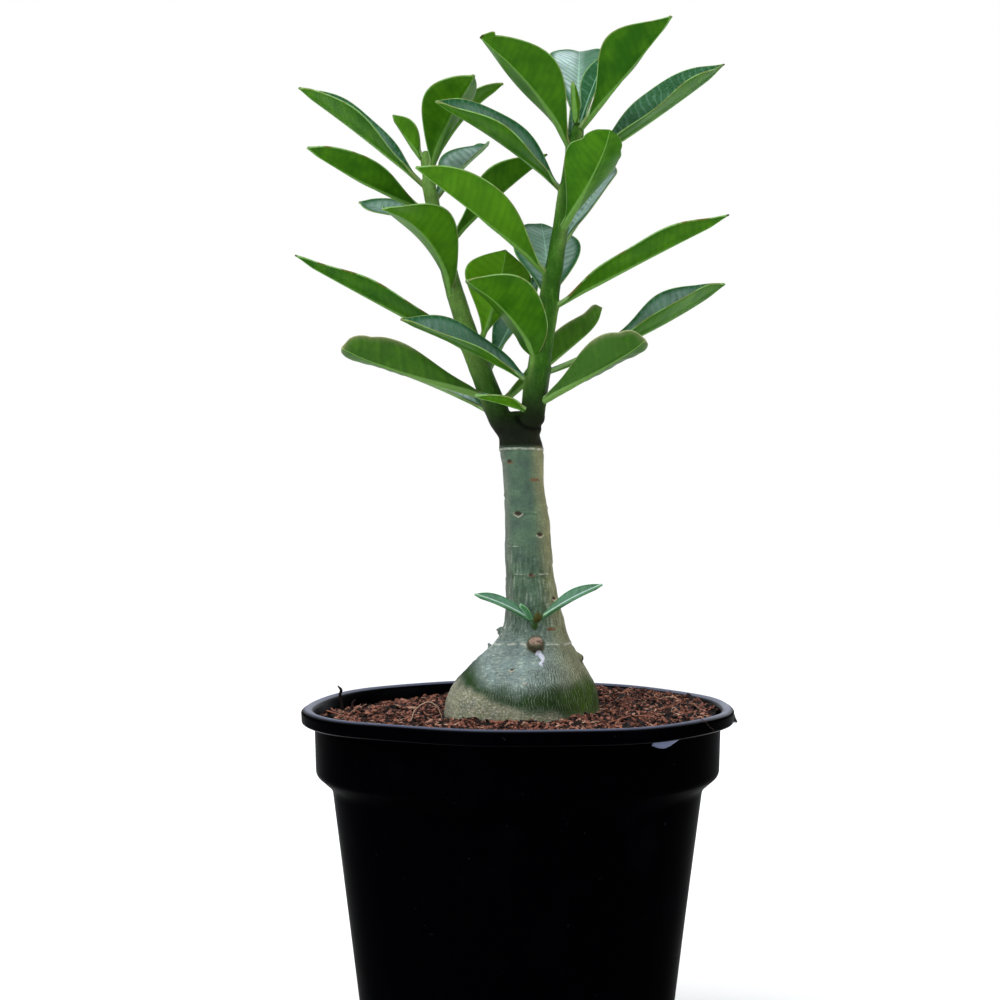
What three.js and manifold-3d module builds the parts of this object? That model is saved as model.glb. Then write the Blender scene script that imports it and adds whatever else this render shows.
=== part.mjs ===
// A potted desert rose: a swollen-based plant with a short trunk, two leafy stems and a
// basal shoot, standing in coir chips in a round nursery pot.
// Millimetres, +Z up, +X to the right and -Y towards the viewer.
// The origin is the middle of the pot's underside.

import * as THREE from "three";
import { mergeVertices } from "three/addons/utils/BufferGeometryUtils.js";
import Module from "manifold-3d";

const wasm = await Module();
wasm.setup();

const JOIN_GAP = 0.3;

// Pot: rolled lip, upright band, shoulder and a tapering body
const POT_HEIGHT = 155;
const LIP_RADIUS = 90;
const LIP_HEIGHT = 6;
const LIP_ROUND = 1.2;
const LIP_CREST_RADIUS = 87.5;
const BAND_TOP_RADIUS = 84.4;
const BAND_FOOT_RADIUS = 83.8;
const BAND_DROP = 27.4;
const SHOULDER_RADIUS = 77;
const SHOULDER_DROP = 33.3;
const FOOT_RADIUS = 61.7;
const FOOT_CHAMFER = 1.6;
const POT_WALL = 2;
const POT_FLOOR = 2.5;
const POT_SIDES = 40;
const DRAIN_COUNT = 8;
const DRAIN_RADIUS = 4.5;
const DRAIN_CIRCLE = 47;

// Potting mix: higher on the right, heaped a little against the plant
const MIX_LEVEL = 152.4;
const MIX_TILT = 0.027;
const MIX_BACK_TILT = 0.01;
const MIX_RELIEF = 0.8;
const MIX_RINGS = [78, 68, 57, 46, 34];

// Swollen base and trunk: height, left edge and right edge of each level
const TRUNK_LEVELS = [
  [96, -3, 5],
  [104, -9, 12],
  [120, -18, 22],
  [138, -27, 31],
  [151, -30.8, 34.6],
  [156, -30.2, 34.4],
  [160, -28.9, 33.8],
  [165, -26.2, 32.2],
  [170, -21.9, 29.6],
  [174, -17.6, 26.9],
  [178, -12.9, 24.4],
  [182, -8.6, 22.4],
  [186, -6.2, 21],
  [190, -5, 19.8],
  [197, -4.7, 18],
  [208, -4.4, 15.8],
  [222, -5, 14.3],
  [232, -5, 13.7],
  [240, -5, 12.2],
  [248, -5.4, 11.3],
  [256, -6, 10.9],
  [260, -6.8, 11.3],
  [264, -7.4, 10.6],
  [269, -7.4, 9.4],
  [273, -6.2, 8.2],
  [276.5, -4.2, 5],
  [278.5, -1.6, 1.8],
];
const TRUNK_SIDES = 26;
const TRUNK_DEPTH_RATIO = 0.95;
const CAUDEX_LOBES = 5;
const CAUDEX_LOBE_DEPTH = 0.035;

// Pruned side stub on the front of the trunk, and small knobs on the shoulders of the swollen base
const STUB = { foot: [8, -9, 180], tip: [7.4, -20, 183.2], radius: 2.9 };
const KNOBS = [
  { at: [-7.6, -2, 186.5], radius: 2 },
  { at: [-12.4, -1, 180.5], radius: 1.7 },
  { at: [26, -2, 174.5], radius: 2.6 },
];

// Stems: Bezier control points, and radii at the joint, above it and at the tip
const STEMS = {
  right: {
    points: [[5.2, -3.5, 266], [10, -4.5, 308], [18, -7, 352], [24.9, -10, 397]],
    jointRadius: 3.6,
    footRadius: 5.4,
    tipRadius: 2.4,
  },
  left: {
    points: [[-3.5, 0, 267], [-22.5, 8, 309], [-37.5, 18, 364], [-39.3, 26, 392]],
    jointRadius: 3.6,
    footRadius: 5.2,
    tipRadius: 2.1,
  },
};
const STEM_SIDES = 12;
const STEM_STEPS = 16;
const JOINT_SHARE = 0.07;
const STEM_TIP_SHARE = 0.97;

// Leaves. stem: which stem and the height where the leaf leaves it. tip: where its point is.
// width: across the unfolded blade. arch: degrees it bends down from foot to tip.
// roll: degrees its upper face is turned about its length. fold: degrees each half rises from
// the midrib. widest: share of the length at the widest place. Options: blunt (under 1 is
// rounder), curl (degrees the last part turns up) and cup (degrees each half rolls inwards).
const leaf = (name, stem, height, tip, width, arch, roll, fold, widest, options = {}) =>
  ({ name, stem, height, tip, width, arch, roll, fold, widest, blunt: 1, curl: 0, cup: 0, ...options });
const LEAVES = [
  leaf("leaf_right_crown_left", "right", 387, [-15, -34, 427], 27, -45, 27, 29, 0.58),
  leaf("leaf_right_crown_right", "right", 395, [62, -28, 437], 29, 1, -13, 34, 0.62, { blunt: 1.2 }),
  leaf("leaf_right_crown_back", "right", 391, [28, 42, 439], 26, -55, 9, 14, 0.66),
  leaf("leaf_right_crown_young", "right", 396.5, [38, 0, 429], 11, -12, 19, 21, 0.6),
  leaf("leaf_right_crown_bud", "right", 397, [23, -16, 413], 4, -5, 0, 30, 0.5),
  leaf("leaf_right_upper_right", "right", 379, [89, 18, 428], 26, 6, 12, 34, 0.64),
  leaf("leaf_right_upper_front", "right", 354, [40, -37, 389], 26, 22, -21, 23, 0.66,
    { curl: 25, cup: 25 }),
  leaf("leaf_right_upper_back", "right", 347, [43, 30, 386], 22, -5, -5, 20, 0.62),
  leaf("leaf_right_upper_left", "right", 370, [-33, -26, 403], 25, -16, -19, 37, 0.56),
  leaf("leaf_right_middle_left", "right", 335, [-41, -28, 376], 28, -11, 17, 31, 0.6),
  leaf("leaf_right_middle_back", "right", 324, [11, 41, 363], 29, -32, 6, 8, 0.56, { blunt: 0.9 }),
  leaf("leaf_right_middle_right", "right", 322, [85, -32, 356], 21, -3, 1, 29, 0.58),
  leaf("leaf_right_lower_right", "right", 295, [89, 18, 334], 26, 17, 4, 38, 0.74),
  leaf("leaf_right_foot_right", "right", 282, [52, -28, 305], 28, -6, -24, 32, 0.6,
    { blunt: 0.6, curl: 25, cup: 25 }),
  leaf("leaf_right_lower_front", "right", 301, [-20, -37, 329], 31, -44, 7, 26, 0.5, { blunt: 0.75 }),
  leaf("leaf_right_lower_left", "right", 291, [-48, -13, 316], 22, -11, -18, 27, 0.56),
  leaf("leaf_right_foot_left", "right", 279, [-17, -24, 284], 10, -11, -8, 19, 0.6),
  leaf("leaf_left_upper_left", "left", 377, [-95, 36, 422], 24, -6, -8, 37, 0.62, { blunt: 1.1 }),
  leaf("leaf_left_middle_left", "left", 365, [-86, -17, 386], 22, 13, 11, 26, 0.64),
  leaf("leaf_left_middle_back", "left", 360, [-69, 37, 372], 18, 0, -24, 11, 0.6),
  leaf("leaf_left_middle_front", "left", 327, [-55, -22, 360], 30, -80, -2, 19, 0.6),
  leaf("leaf_left_crown_front", "left", 383, [-18, -2, 419], 28, -33, 1, 25, 0.62, { blunt: 1.1 }),
  leaf("leaf_left_crown_young", "left", 389, [-53, 27, 408], 12, 8, 37, 30, 0.6),
  leaf("leaf_left_crown_right", "left", 385, [-6, 32, 423], 18, -36, -15, 28, 0.62),
  leaf("leaf_left_upper_back", "left", 371, [-13, 47, 399], 22, -12, 0, 26, 0.6),
  leaf("leaf_left_upper_right", "left", 350, [13, 16, 389], 23, -16, -25, 27, 0.6),
  leaf("leaf_left_lower_front", "left", 304, [-5, -7, 345], 31, 24, -14, 7, 0.74),
  leaf("leaf_left_lower_back", "left", 295, [10, 28, 340], 21, -3, -3, 11, 0.62),
  leaf("leaf_left_lower_left", "left", 306, [-93, 1, 344], 20, 1, 3, 29, 0.5),
  leaf("leaf_left_foot_left", "left", 285, [-72, -25, 303], 26, 5, 46, 35, 0.62,
    { blunt: 0.65, curl: 25, cup: 25 }),
  leaf("leaf_left_foot_back", "left", 279, [-53, 26, 298], 20, -9, -16, 17, 0.6),
  leaf("leaf_left_foot_right", "left", 282, [36, 23, 324], 23, -39, -16, 26, 0.74, { curl: 20, cup: 25 }),
];
const LEAF_STEPS = 10;
const HALF_CELLS = 2;
const BLADE_THICKNESS = 0.9;
const STALK_THICKNESS = 2.2;
const STALK_HALF_WIDTH = 1.4;
const STALK_SHARE = 0.2;
const TIP_HALF_WIDTH = 0.2;
const FOLD_SHARE = 0.18;
const CURL_START = 0.72;
const FOOT_DEPTH_SHARE = 0.8;

// Basal shoot: a stalk on the trunk, two small leaves, a darker young one and a bud
const SHOOT_FOOT = [7.2, -9.5, 188];
const SHOOT_TOP = [7.2, -14.5, 191.5];
const SHOOT_RADIUS = 1.5;
const SHOOT_LEAVES = [
  { tip: [-17.5, -17, 202.6], width: 6, arch: -26, roll: 10, fold: 24 },
  { tip: [34.8, -17, 206.6], width: 6.5, arch: -22, roll: -10, fold: 24 },
  { tip: [1.4, -15.5, 198.6], width: 3.6, arch: -10, roll: 0, fold: 20 },
];
const SHOOT_BUD = { at: [9.2, -16.4, 195.2], radius: 1.5, height: 3.2 };

const LOOKS = {
  pot: { color: 0x0a0a0d, roughness: 0.42, metalness: 0 },
  mix: { color: 0x6a3a26, roughness: 0.95, metalness: 0 },
  bark: { color: 0x7d8f80, roughness: 0.7, metalness: 0 },
  leaf: { color: 0x3f7a24, roughness: 0.4, metalness: 0 },
};

const root = new THREE.Group();

function add(name, geometry, look) {
  const mesh = new THREE.Mesh(geometry, new THREE.MeshStandardMaterial(look));
  mesh.name = name;
  root.add(mesh);
  return mesh;
}

const smooth = (x) => THREE.MathUtils.smoothstep(x, 0, 1);

function toSolid(geometry) {
  const bare = geometry.clone();
  bare.deleteAttribute("normal");
  bare.deleteAttribute("uv");
  const merged = mergeVertices(bare, 1e-4);
  return new wasm.Manifold(new wasm.Mesh({
    numProp: 3,
    vertProperties: new Float32Array(merged.attributes.position.array),
    triVerts: new Uint32Array(merged.index.array),
  }));
}

function toGeometry(solid) {
  const mesh = solid.getMesh();
  const geometry = new THREE.BufferGeometry();
  geometry.setAttribute("position", new THREE.BufferAttribute(new Float32Array(mesh.vertProperties), 3));
  geometry.setIndex(new THREE.BufferAttribute(new Uint32Array(mesh.triVerts), 1));
  geometry.computeVertexNormals();
  return geometry;
}

// Closed skin over rings of equal point count, each ring counter-clockwise seen from its far end.
function loft(rings) {
  const sides = rings[0].length;
  const points = rings.flat();
  const faces = [];
  for (let i = 0; i + 1 < rings.length; i += 1) {
    for (let j = 0; j < sides; j += 1) {
      const a = i * sides + j;
      const b = i * sides + (j + 1) % sides;
      faces.push(a, b, b + sides, a, b + sides, a + sides);
    }
  }
  for (const [ring, turn] of [[0, 1], [rings.length - 1, -1]]) {
    const middle = new THREE.Vector3();
    rings[ring].forEach((point) => middle.addScaledVector(point, 1 / sides));
    points.push(middle);
    for (let j = 0; j < sides; j += 1) {
      const a = ring * sides + j;
      const b = ring * sides + (j + 1) % sides;
      faces.push(points.length - 1, turn > 0 ? b : a, turn > 0 ? a : b);
    }
  }
  const geometry = new THREE.BufferGeometry().setFromPoints(points);
  geometry.setIndex(faces);
  return geometry;
}

// Lathe about the pot's axis from [radius, height] pairs that start and end on the axis.
function lathe(profile, sides) {
  const geometry = new THREE.LatheGeometry(profile.map(([r, z]) => new THREE.Vector2(r, z)), sides);
  return geometry.rotateX(Math.PI / 2);
}

function makePot() {
  const bandTop = POT_HEIGHT - LIP_HEIGHT;
  const bandFoot = POT_HEIGHT - BAND_DROP;
  const shoulder = POT_HEIGHT - SHOULDER_DROP;
  const profile = [
    [0, 0],
    [FOOT_RADIUS - FOOT_CHAMFER, 0],
    [FOOT_RADIUS, FOOT_CHAMFER],
    [SHOULDER_RADIUS, shoulder],
    [BAND_FOOT_RADIUS, bandFoot],
    [BAND_TOP_RADIUS, bandTop],
    [LIP_RADIUS - LIP_ROUND / 2, bandTop],
    [LIP_RADIUS, bandTop + LIP_ROUND],
    [LIP_RADIUS, POT_HEIGHT - 2 * LIP_ROUND],
    [LIP_RADIUS - LIP_ROUND, POT_HEIGHT - LIP_ROUND / 2],
    [LIP_CREST_RADIUS, POT_HEIGHT],
    [LIP_CREST_RADIUS - 2 * LIP_ROUND, POT_HEIGHT - LIP_ROUND],
    [BAND_TOP_RADIUS - POT_WALL, bandTop - LIP_ROUND],
    [BAND_FOOT_RADIUS - POT_WALL, bandFoot + POT_WALL / 2],
    [SHOULDER_RADIUS - POT_WALL, shoulder + POT_WALL / 2],
    [FOOT_RADIUS - POT_WALL, POT_FLOOR],
    [0, POT_FLOOR],
  ];
  let solid = toSolid(lathe(profile, POT_SIDES));
  const drill = new THREE.CylinderGeometry(DRAIN_RADIUS, DRAIN_RADIUS, 4 * POT_FLOOR, 10);
  drill.rotateX(Math.PI / 2);
  for (let i = 0; i < DRAIN_COUNT; i += 1) {
    const angle = (i + 0.5) * 2 * Math.PI / DRAIN_COUNT;
    const hole = drill.clone();
    hole.translate(DRAIN_CIRCLE * Math.cos(angle), DRAIN_CIRCLE * Math.sin(angle), 0);
    solid = solid.subtract(toSolid(hole));
  }
  return toGeometry(solid);
}

// Height of the mix: tilted a little, with low mounds and dips.
function mixHeight(x, y) {
  const mounds = Math.sin(0.21 * x + 0.13 * y) * Math.cos(0.17 * y - 0.07 * x);
  const dips = 0.5 * Math.sin(0.43 * x - 0.37 * y);
  return MIX_LEVEL + MIX_TILT * x + MIX_BACK_TILT * y + MIX_RELIEF * (mounds + dips);
}

// The swollen base and trunk, grown by a margin to cut the hole that it stands in.
function trunkSolid(margin) {
  const rings = TRUNK_LEVELS.map(([z, left, right], level) => {
    const height = level === 0 ? z - margin : z;
    const lobes = CAUDEX_LOBE_DEPTH * smooth((196 - z) / 40);
    const middle = (left + right) / 2;
    const half = (right - left) / 2 + margin;
    return Array.from({ length: TRUNK_SIDES }, (_, j) => {
      const angle = j * 2 * Math.PI / TRUNK_SIDES;
      const swell = 1 - lobes * (1 - Math.cos(CAUDEX_LOBES * angle)) * Math.abs(Math.sin(angle));
      const across = half * swell * Math.cos(angle);
      const deep = half * swell * TRUNK_DEPTH_RATIO * Math.sin(angle);
      return new THREE.Vector3(middle + across, deep, height);
    });
  });
  return toSolid(loft(rings));
}

function makeMix() {
  const bandFoot = POT_HEIGHT - BAND_DROP;
  const shoulder = POT_HEIGHT - SHOULDER_DROP;
  const edge = POT_WALL + JOIN_GAP;
  const topRadius = BAND_TOP_RADIUS - edge - 0.1;
  const floor = POT_FLOOR + JOIN_GAP;
  const profile = [
    [0, floor],
    [FOOT_RADIUS - edge, floor],
    [SHOULDER_RADIUS - edge, shoulder + POT_WALL / 2 + JOIN_GAP],
    [BAND_FOOT_RADIUS - edge, bandFoot + POT_WALL / 2 + JOIN_GAP],
    [topRadius, MIX_LEVEL - 6],
    ...MIX_RINGS.map((radius) => [radius, MIX_LEVEL]),
    [0, MIX_LEVEL],
  ];
  const geometry = lathe(profile, POT_SIDES);
  const position = geometry.attributes.position;
  for (let i = 0; i < position.count; i += 1) {
    if (position.getZ(i) > MIX_LEVEL - 1) {
      position.setZ(i, mixHeight(position.getX(i), position.getY(i)));
    }
  }
  return toGeometry(toSolid(geometry).subtract(trunkSolid(JOIN_GAP)));
}

function stemCurve(stem) {
  return new THREE.CubicBezierCurve3(...stem.points.map((point) => new THREE.Vector3(...point)));
}

function stemRadius(stem, share) {
  const taper = THREE.MathUtils.lerp(stem.footRadius, stem.tipRadius, share);
  return THREE.MathUtils.lerp(stem.jointRadius, taper, smooth(share / JOINT_SHARE));
}

// A ring of points round a centre, square to a direction.
function ringAt(centre, direction, radius, sides) {
  const across = new THREE.Vector3(0, 1, 0).cross(direction).normalize();
  const along = direction.clone().cross(across).normalize();
  return Array.from({ length: sides }, (_, j) => {
    const angle = j * 2 * Math.PI / sides;
    return centre.clone()
      .addScaledVector(across, radius * Math.cos(angle))
      .addScaledVector(along, radius * Math.sin(angle));
  });
}

function stemSolid(stem, margin) {
  const curve = stemCurve(stem);
  const rings = [];
  for (let i = 0; i <= STEM_STEPS; i += 1) {
    const share = (i / STEM_STEPS) ** 1.25;
    const rounding = share > STEM_TIP_SHARE ? 0.55 : 1;
    const radius = stemRadius(stem, share) * rounding + margin;
    rings.push(ringAt(curve.getPoint(share), curve.getTangent(share), radius, STEM_SIDES));
  }
  return toSolid(loft(rings));
}

function makeStems() {
  let solid = trunkSolid(0);
  for (const stem of Object.values(STEMS)) {
    solid = solid.add(stemSolid(stem, 0));
  }
  const foot = new THREE.Vector3(...STUB.foot);
  const tip = new THREE.Vector3(...STUB.tip);
  const direction = tip.clone().sub(foot).normalize();
  solid = solid.add(toSolid(loft([
    ringAt(foot, direction, STUB.radius * 1.3, 10),
    ringAt(tip, direction, STUB.radius, 10),
  ])));
  for (const knob of KNOBS) {
    solid = solid.add(toSolid(new THREE.SphereGeometry(knob.radius, 8, 6).translate(...knob.at)));
  }
  return toGeometry(solid);
}

// Half width of a blade at a share of its length.
function bladeHalf(shape, share) {
  const turn = Math.log(0.5) / Math.log(shape.widest);
  const blade = shape.width / 2 * Math.max(0, Math.sin(Math.PI * share ** turn)) ** shape.blunt;
  return Math.max(blade, shape.stalk * Math.sqrt(1 - share), TIP_HALF_WIDTH);
}

// The blade's centre line as frames: place, direction, side and upper normal at each step.
function bladeFrames(shape, foot, turn, rise, length, steps) {
  const level = Math.cos(rise);
  const along = new THREE.Vector3(level * Math.cos(turn), level * Math.sin(turn), Math.sin(rise));
  const side = new THREE.Vector3(-Math.sin(turn), Math.cos(turn), 0);
  side.applyAxisAngle(along, THREE.MathUtils.degToRad(shape.roll));
  const place = foot.clone();
  const curled = (share) => shape.curl * smooth((share - CURL_START) / (1 - CURL_START));
  const frames = [];
  for (let i = 0; i <= steps; i += 1) {
    frames.push({ place: place.clone(), side: side.clone(), normal: along.clone().cross(side) });
    const bend = shape.arch / steps + curled((i + 1) / steps) - curled(i / steps);
    along.applyAxisAngle(side, -THREE.MathUtils.degToRad(bend) / 2);
    place.addScaledVector(along, length / steps);
    along.applyAxisAngle(side, -THREE.MathUtils.degToRad(bend) / 2);
  }
  return frames;
}

// Turns, tilts and stretches the centre line until it runs from its foot to the tip.
function aimedFrames(shape, footAt, steps) {
  const tip = new THREE.Vector3(...shape.tip);
  const wanted = (foot) => tip.clone().sub(foot);
  const heading = (v) => Math.atan2(v.y, v.x);
  const climb = (v) => Math.atan2(v.z, Math.hypot(v.x, v.y));
  const first = wanted(footAt(0));
  let turn = heading(first);
  let rise = climb(first) - THREE.MathUtils.degToRad(shape.arch) / 2;
  let length = first.length();
  for (let pass = 0; pass < 30; pass += 1) {
    const foot = footAt(turn);
    const goal = wanted(foot);
    const reached = bladeFrames(shape, foot, turn, rise, length, steps)[steps].place.sub(foot);
    const swing = heading(goal) - heading(reached);
    turn += Math.atan2(Math.sin(swing), Math.cos(swing));
    rise += climb(goal) - climb(reached);
    length *= goal.length() / reached.length();
  }
  return bladeFrames(shape, footAt(turn), turn, rise, length, steps);
}

// A closed blade: a folded upper face, a lower face a thickness below it, and a narrow edge.
function bladeGeometry(shape, frames) {
  const rings = frames.map((frame, i) => {
    const share = i / (frames.length - 1);
    const half = bladeHalf(shape, share);
    const fold = THREE.MathUtils.degToRad(shape.fold) * smooth(share / FOLD_SHARE);
    const cup = THREE.MathUtils.degToRad(shape.cup);
    const stalk = (shape.stalkThickness - BLADE_THICKNESS) * (1 - smooth(share / STALK_SHARE));
    const thickness = BLADE_THICKNESS + stalk;
    const upper = [];
    const lower = [];
    for (const turn of [-1, 1]) {
      let x = 0;
      let y = 0;
      for (let j = 0; j <= HALF_CELLS; j += 1) {
        const lean = j === 0 ? 0 : fold + cup * j / HALF_CELLS;
        const top = frame.place.clone()
          .addScaledVector(frame.side, turn * x)
          .addScaledVector(frame.normal, y);
        const under = top.clone()
          .addScaledVector(frame.side, turn * thickness * Math.sin(lean))
          .addScaledVector(frame.normal, -thickness * Math.cos(lean));
        if (turn < 0) {
          upper.unshift(top);
          lower.unshift(under);
        } else if (j > 0) {
          upper.push(top);
          lower.push(under);
        }
        const step = fold + cup * (j + 0.5) / HALF_CELLS;
        x += half / HALF_CELLS * Math.cos(step);
        y += half / HALF_CELLS * Math.sin(step);
      }
    }
    return [...upper, ...lower.reverse()].reverse();
  });
  return loft(rings);
}

function leafFoot(shape) {
  const stem = STEMS[shape.stem];
  const curve = stemCurve(stem);
  let low = 0;
  let high = 1;
  for (let i = 0; i < 24; i += 1) {
    const middle = (low + high) / 2;
    if (curve.getPoint(middle).z < shape.height) {
      low = middle;
    } else {
      high = middle;
    }
  }
  const centre = curve.getPoint(low);
  const reach = FOOT_DEPTH_SHARE * stemRadius(stem, low);
  const outwards = (turn) => new THREE.Vector3(reach * Math.cos(turn), reach * Math.sin(turn), 0);
  return (turn) => outwards(turn).add(centre);
}

function makeLeaf(shape) {
  const full = { ...shape, stalk: STALK_HALF_WIDTH, stalkThickness: STALK_THICKNESS };
  const blade = toSolid(bladeGeometry(full, aimedFrames(full, leafFoot(full), LEAF_STEPS)));
  return blade.subtract(stemSolid(STEMS[shape.stem], JOIN_GAP));
}

function makeShoot() {
  const foot = new THREE.Vector3(...SHOOT_FOOT);
  const top = new THREE.Vector3(...SHOOT_TOP);
  const direction = top.clone().sub(foot).normalize();
  let solid = toSolid(loft([
    ringAt(foot, direction, SHOOT_RADIUS, 8),
    ringAt(top, direction, SHOOT_RADIUS, 8),
  ]));
  for (const row of SHOOT_LEAVES) {
    const shape = { widest: 0.6, blunt: 1, curl: 0, cup: 0, stalk: 0.9, stalkThickness: 1.4, ...row };
    solid = solid.add(toSolid(bladeGeometry(shape, aimedFrames(shape, () => top.clone(), LEAF_STEPS))));
  }
  const bud = new THREE.SphereGeometry(SHOOT_BUD.radius, 8, 6);
  bud.rotateX(Math.PI / 2).scale(1, 1, SHOOT_BUD.height / SHOOT_BUD.radius).translate(...SHOOT_BUD.at);
  return solid.add(toSolid(bud)).subtract(trunkSolid(JOIN_GAP));
}

add("pot", makePot(), LOOKS.pot);
add("potting_mix", makeMix(), LOOKS.mix);
add("caudex_and_stems", makeStems(), LOOKS.bark);
add("basal_shoot", toGeometry(makeShoot()), LOOKS.leaf);
for (const shape of LEAVES) {
  add(shape.name, toGeometry(makeLeaf(shape)), LOOKS.leaf);
}

export default root;
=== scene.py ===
"""A young desert rose in a black nursery pot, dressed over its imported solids.

Sizes are in millimetres up to the point where a mesh is made, which is in metres. +Z is up along the pot's
axis, +X is to the right and -Y is towards the viewer. Turns are degrees round +Z, counted from +X.
"""

from __future__ import annotations

import itertools
import logging
import math
from collections.abc import Callable
from dataclasses import dataclass
from enum import Enum
from functools import partial

import bpy
import numpy as np
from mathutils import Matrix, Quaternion, Vector

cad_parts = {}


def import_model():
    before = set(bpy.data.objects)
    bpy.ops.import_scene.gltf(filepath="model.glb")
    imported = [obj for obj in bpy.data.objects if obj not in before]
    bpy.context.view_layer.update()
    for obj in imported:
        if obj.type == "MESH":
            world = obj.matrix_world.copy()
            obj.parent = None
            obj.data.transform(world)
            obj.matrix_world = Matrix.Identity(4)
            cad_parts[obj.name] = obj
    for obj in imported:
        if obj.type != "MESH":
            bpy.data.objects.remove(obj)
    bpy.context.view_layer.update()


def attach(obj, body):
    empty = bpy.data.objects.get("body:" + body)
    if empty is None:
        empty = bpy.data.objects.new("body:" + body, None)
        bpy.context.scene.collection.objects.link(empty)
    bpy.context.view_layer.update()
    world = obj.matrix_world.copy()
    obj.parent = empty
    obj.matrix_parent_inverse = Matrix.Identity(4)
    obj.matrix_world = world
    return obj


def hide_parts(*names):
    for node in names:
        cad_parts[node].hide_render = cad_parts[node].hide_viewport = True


LOG = logging.getLogger("desert_rose")
MM = 0.001
BODY = "root"
FULL_TURN = 2.0 * math.pi
HASH_PRIMES = (73856093, 19349663, 83492791)
SEED_PRIME = 26544357
MIXING_PRIME = 1274126177
SEED_SHIFT = 31.7

MATH = "ShaderNodeMath"
MIX = "ShaderNodeMix"
NOISE = "ShaderNodeTexNoise"
CELLS = "ShaderNodeTexVoronoi"
RANGE = "ShaderNodeMapRange"
MARK = "ShaderNodeAttribute"
BUMP = "ShaderNodeBump"
BRIGHTNESS = "ShaderNodeHueSaturation"
STRETCH = "ShaderNodeMapping"
VECTORS = "ShaderNodeVectorMath"
RANDOM = "FunctionNodeRandomValue"


class Slot(Enum):
    """Material slots."""

    POT = "pot"
    COIR = "coir"
    BARK = "bark"
    LEAF = "leaf"


class Side(Enum):
    """The two stems above the fork."""

    RIGHT = "right"
    LEFT = "left"


class Grain(Enum):
    """What the potting mix's loose top is made of."""

    CHIP = "chip"
    FIBRE = "fibre"


def smooth(share: np.ndarray | float) -> np.ndarray:
    """Eases a share: 0 at or below 0, 1 at or above 1."""
    held = np.clip(share, 0.0, 1.0)
    return held * held * (3.0 - 2.0 * held)


def swell(distance: np.ndarray | float, reach: float) -> np.ndarray:
    """Eases from 1 at no distance to 0 at the reach."""
    return 1.0 - smooth(np.abs(distance) / reach)


def bell(distance: np.ndarray | float, reach: float) -> np.ndarray:
    """Falls off as a bell from 1 at no distance."""
    return np.exp(-((distance / reach) ** 2))


def per_mm(size: float) -> float:
    """The texture scale at which a pattern's grain has a size in millimetres."""
    return 1.0 / (size * MM)


def angle_from(facing: float, turns: np.ndarray) -> np.ndarray:
    """Angles from a facing to turns, in radians, between minus and plus half a turn."""
    return np.angle(np.exp(1j * (turns - facing)))


def round_turns(count: int) -> np.ndarray:
    """Turns evenly round the axis, in radians, from minus half a turn."""
    return np.linspace(-math.pi, math.pi, count, endpoint=False)


def circled(radius: np.ndarray | float, turns: np.ndarray, height: np.ndarray | float) -> np.ndarray:
    """Points at a distance from the axis, by their turns and heights."""
    return np.stack([radius * np.cos(turns), radius * np.sin(turns), height + 0.0 * turns], -1)


def drift(points: np.ndarray, cell: float, seed: int) -> np.ndarray:
    """Smooth random values over space, the same on every run.

    Args:
        points: Places, one row each.
        cell: Distance over which the value changes.
        seed: Which of the many fields to read.

    Returns:
        A value from -1 to 1 for each place.
    """
    grid = points / cell + SEED_SHIFT * seed
    low = np.floor(grid).astype(np.int64)
    share = smooth(grid - low)
    total = np.zeros(len(points))
    for corner in itertools.product((0, 1), repeat=3):
        key = (low + corner) * HASH_PRIMES
        mixed = key[:, 0] ^ key[:, 1] ^ key[:, 2] ^ (seed * SEED_PRIME)
        mixed = (mixed ^ (mixed >> 13)) * MIXING_PRIME
        value = ((mixed >> 7) & 0xFFFF) / 0x7FFF - 1.0
        total += value * np.where(corner, share, 1.0 - share).prod(axis=1)
    return total


def linear(colour: str) -> tuple[float, float, float, float]:
    """Turns an sRGB colour into a linear one.

    Args:
        colour: The hex value.

    Returns:
        Linear red, green and blue, and full alpha.
    """
    parts = [int(colour[k : k + 2], 16) / 255.0 for k in (1, 3, 5)]
    red, green, blue = [p / 12.92 if p <= 0.04045 else ((p + 0.055) / 1.055) ** 2.4 for p in parts]
    return red, green, blue, 1.0


def given(value: object) -> object:
    """What an input takes: a node's first output in use, a hex colour turned linear, or the value itself.

    Args:
        value: A node, socket, hex colour or plain value.

    Returns:
        The socket or plain value.
    """
    if isinstance(value, bpy.types.Node):
        return next(socket for socket in value.outputs if socket.enabled)
    if isinstance(value, str) and value.startswith("#"):
        return linear(value)
    return value


def add_node(
    tree: bpy.types.NodeTree, kind: str, inputs: dict | None = None, **settings: object
) -> bpy.types.Node:
    """Adds a node with its settings, values and links.

    Args:
        tree: Node tree that takes the node.
        kind: The type name of the node.
        inputs: Value, hex colour, socket or node for each input, by the input's name or place.
        **settings: The node's own settings.

    Returns:
        The new node.
    """
    node = tree.nodes.new(kind)
    for name, value in settings.items():
        setattr(node, name, value)
    for key, value in (inputs or {}).items():
        if isinstance(key, int):
            socket = node.inputs[key]
        else:
            socket = next(s for s in node.inputs if s.name == key and s.enabled)
        value = given(value)
        if isinstance(value, bpy.types.NodeSocket):
            tree.links.new(value, socket)
        else:
            socket.default_value = value
    return node


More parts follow.
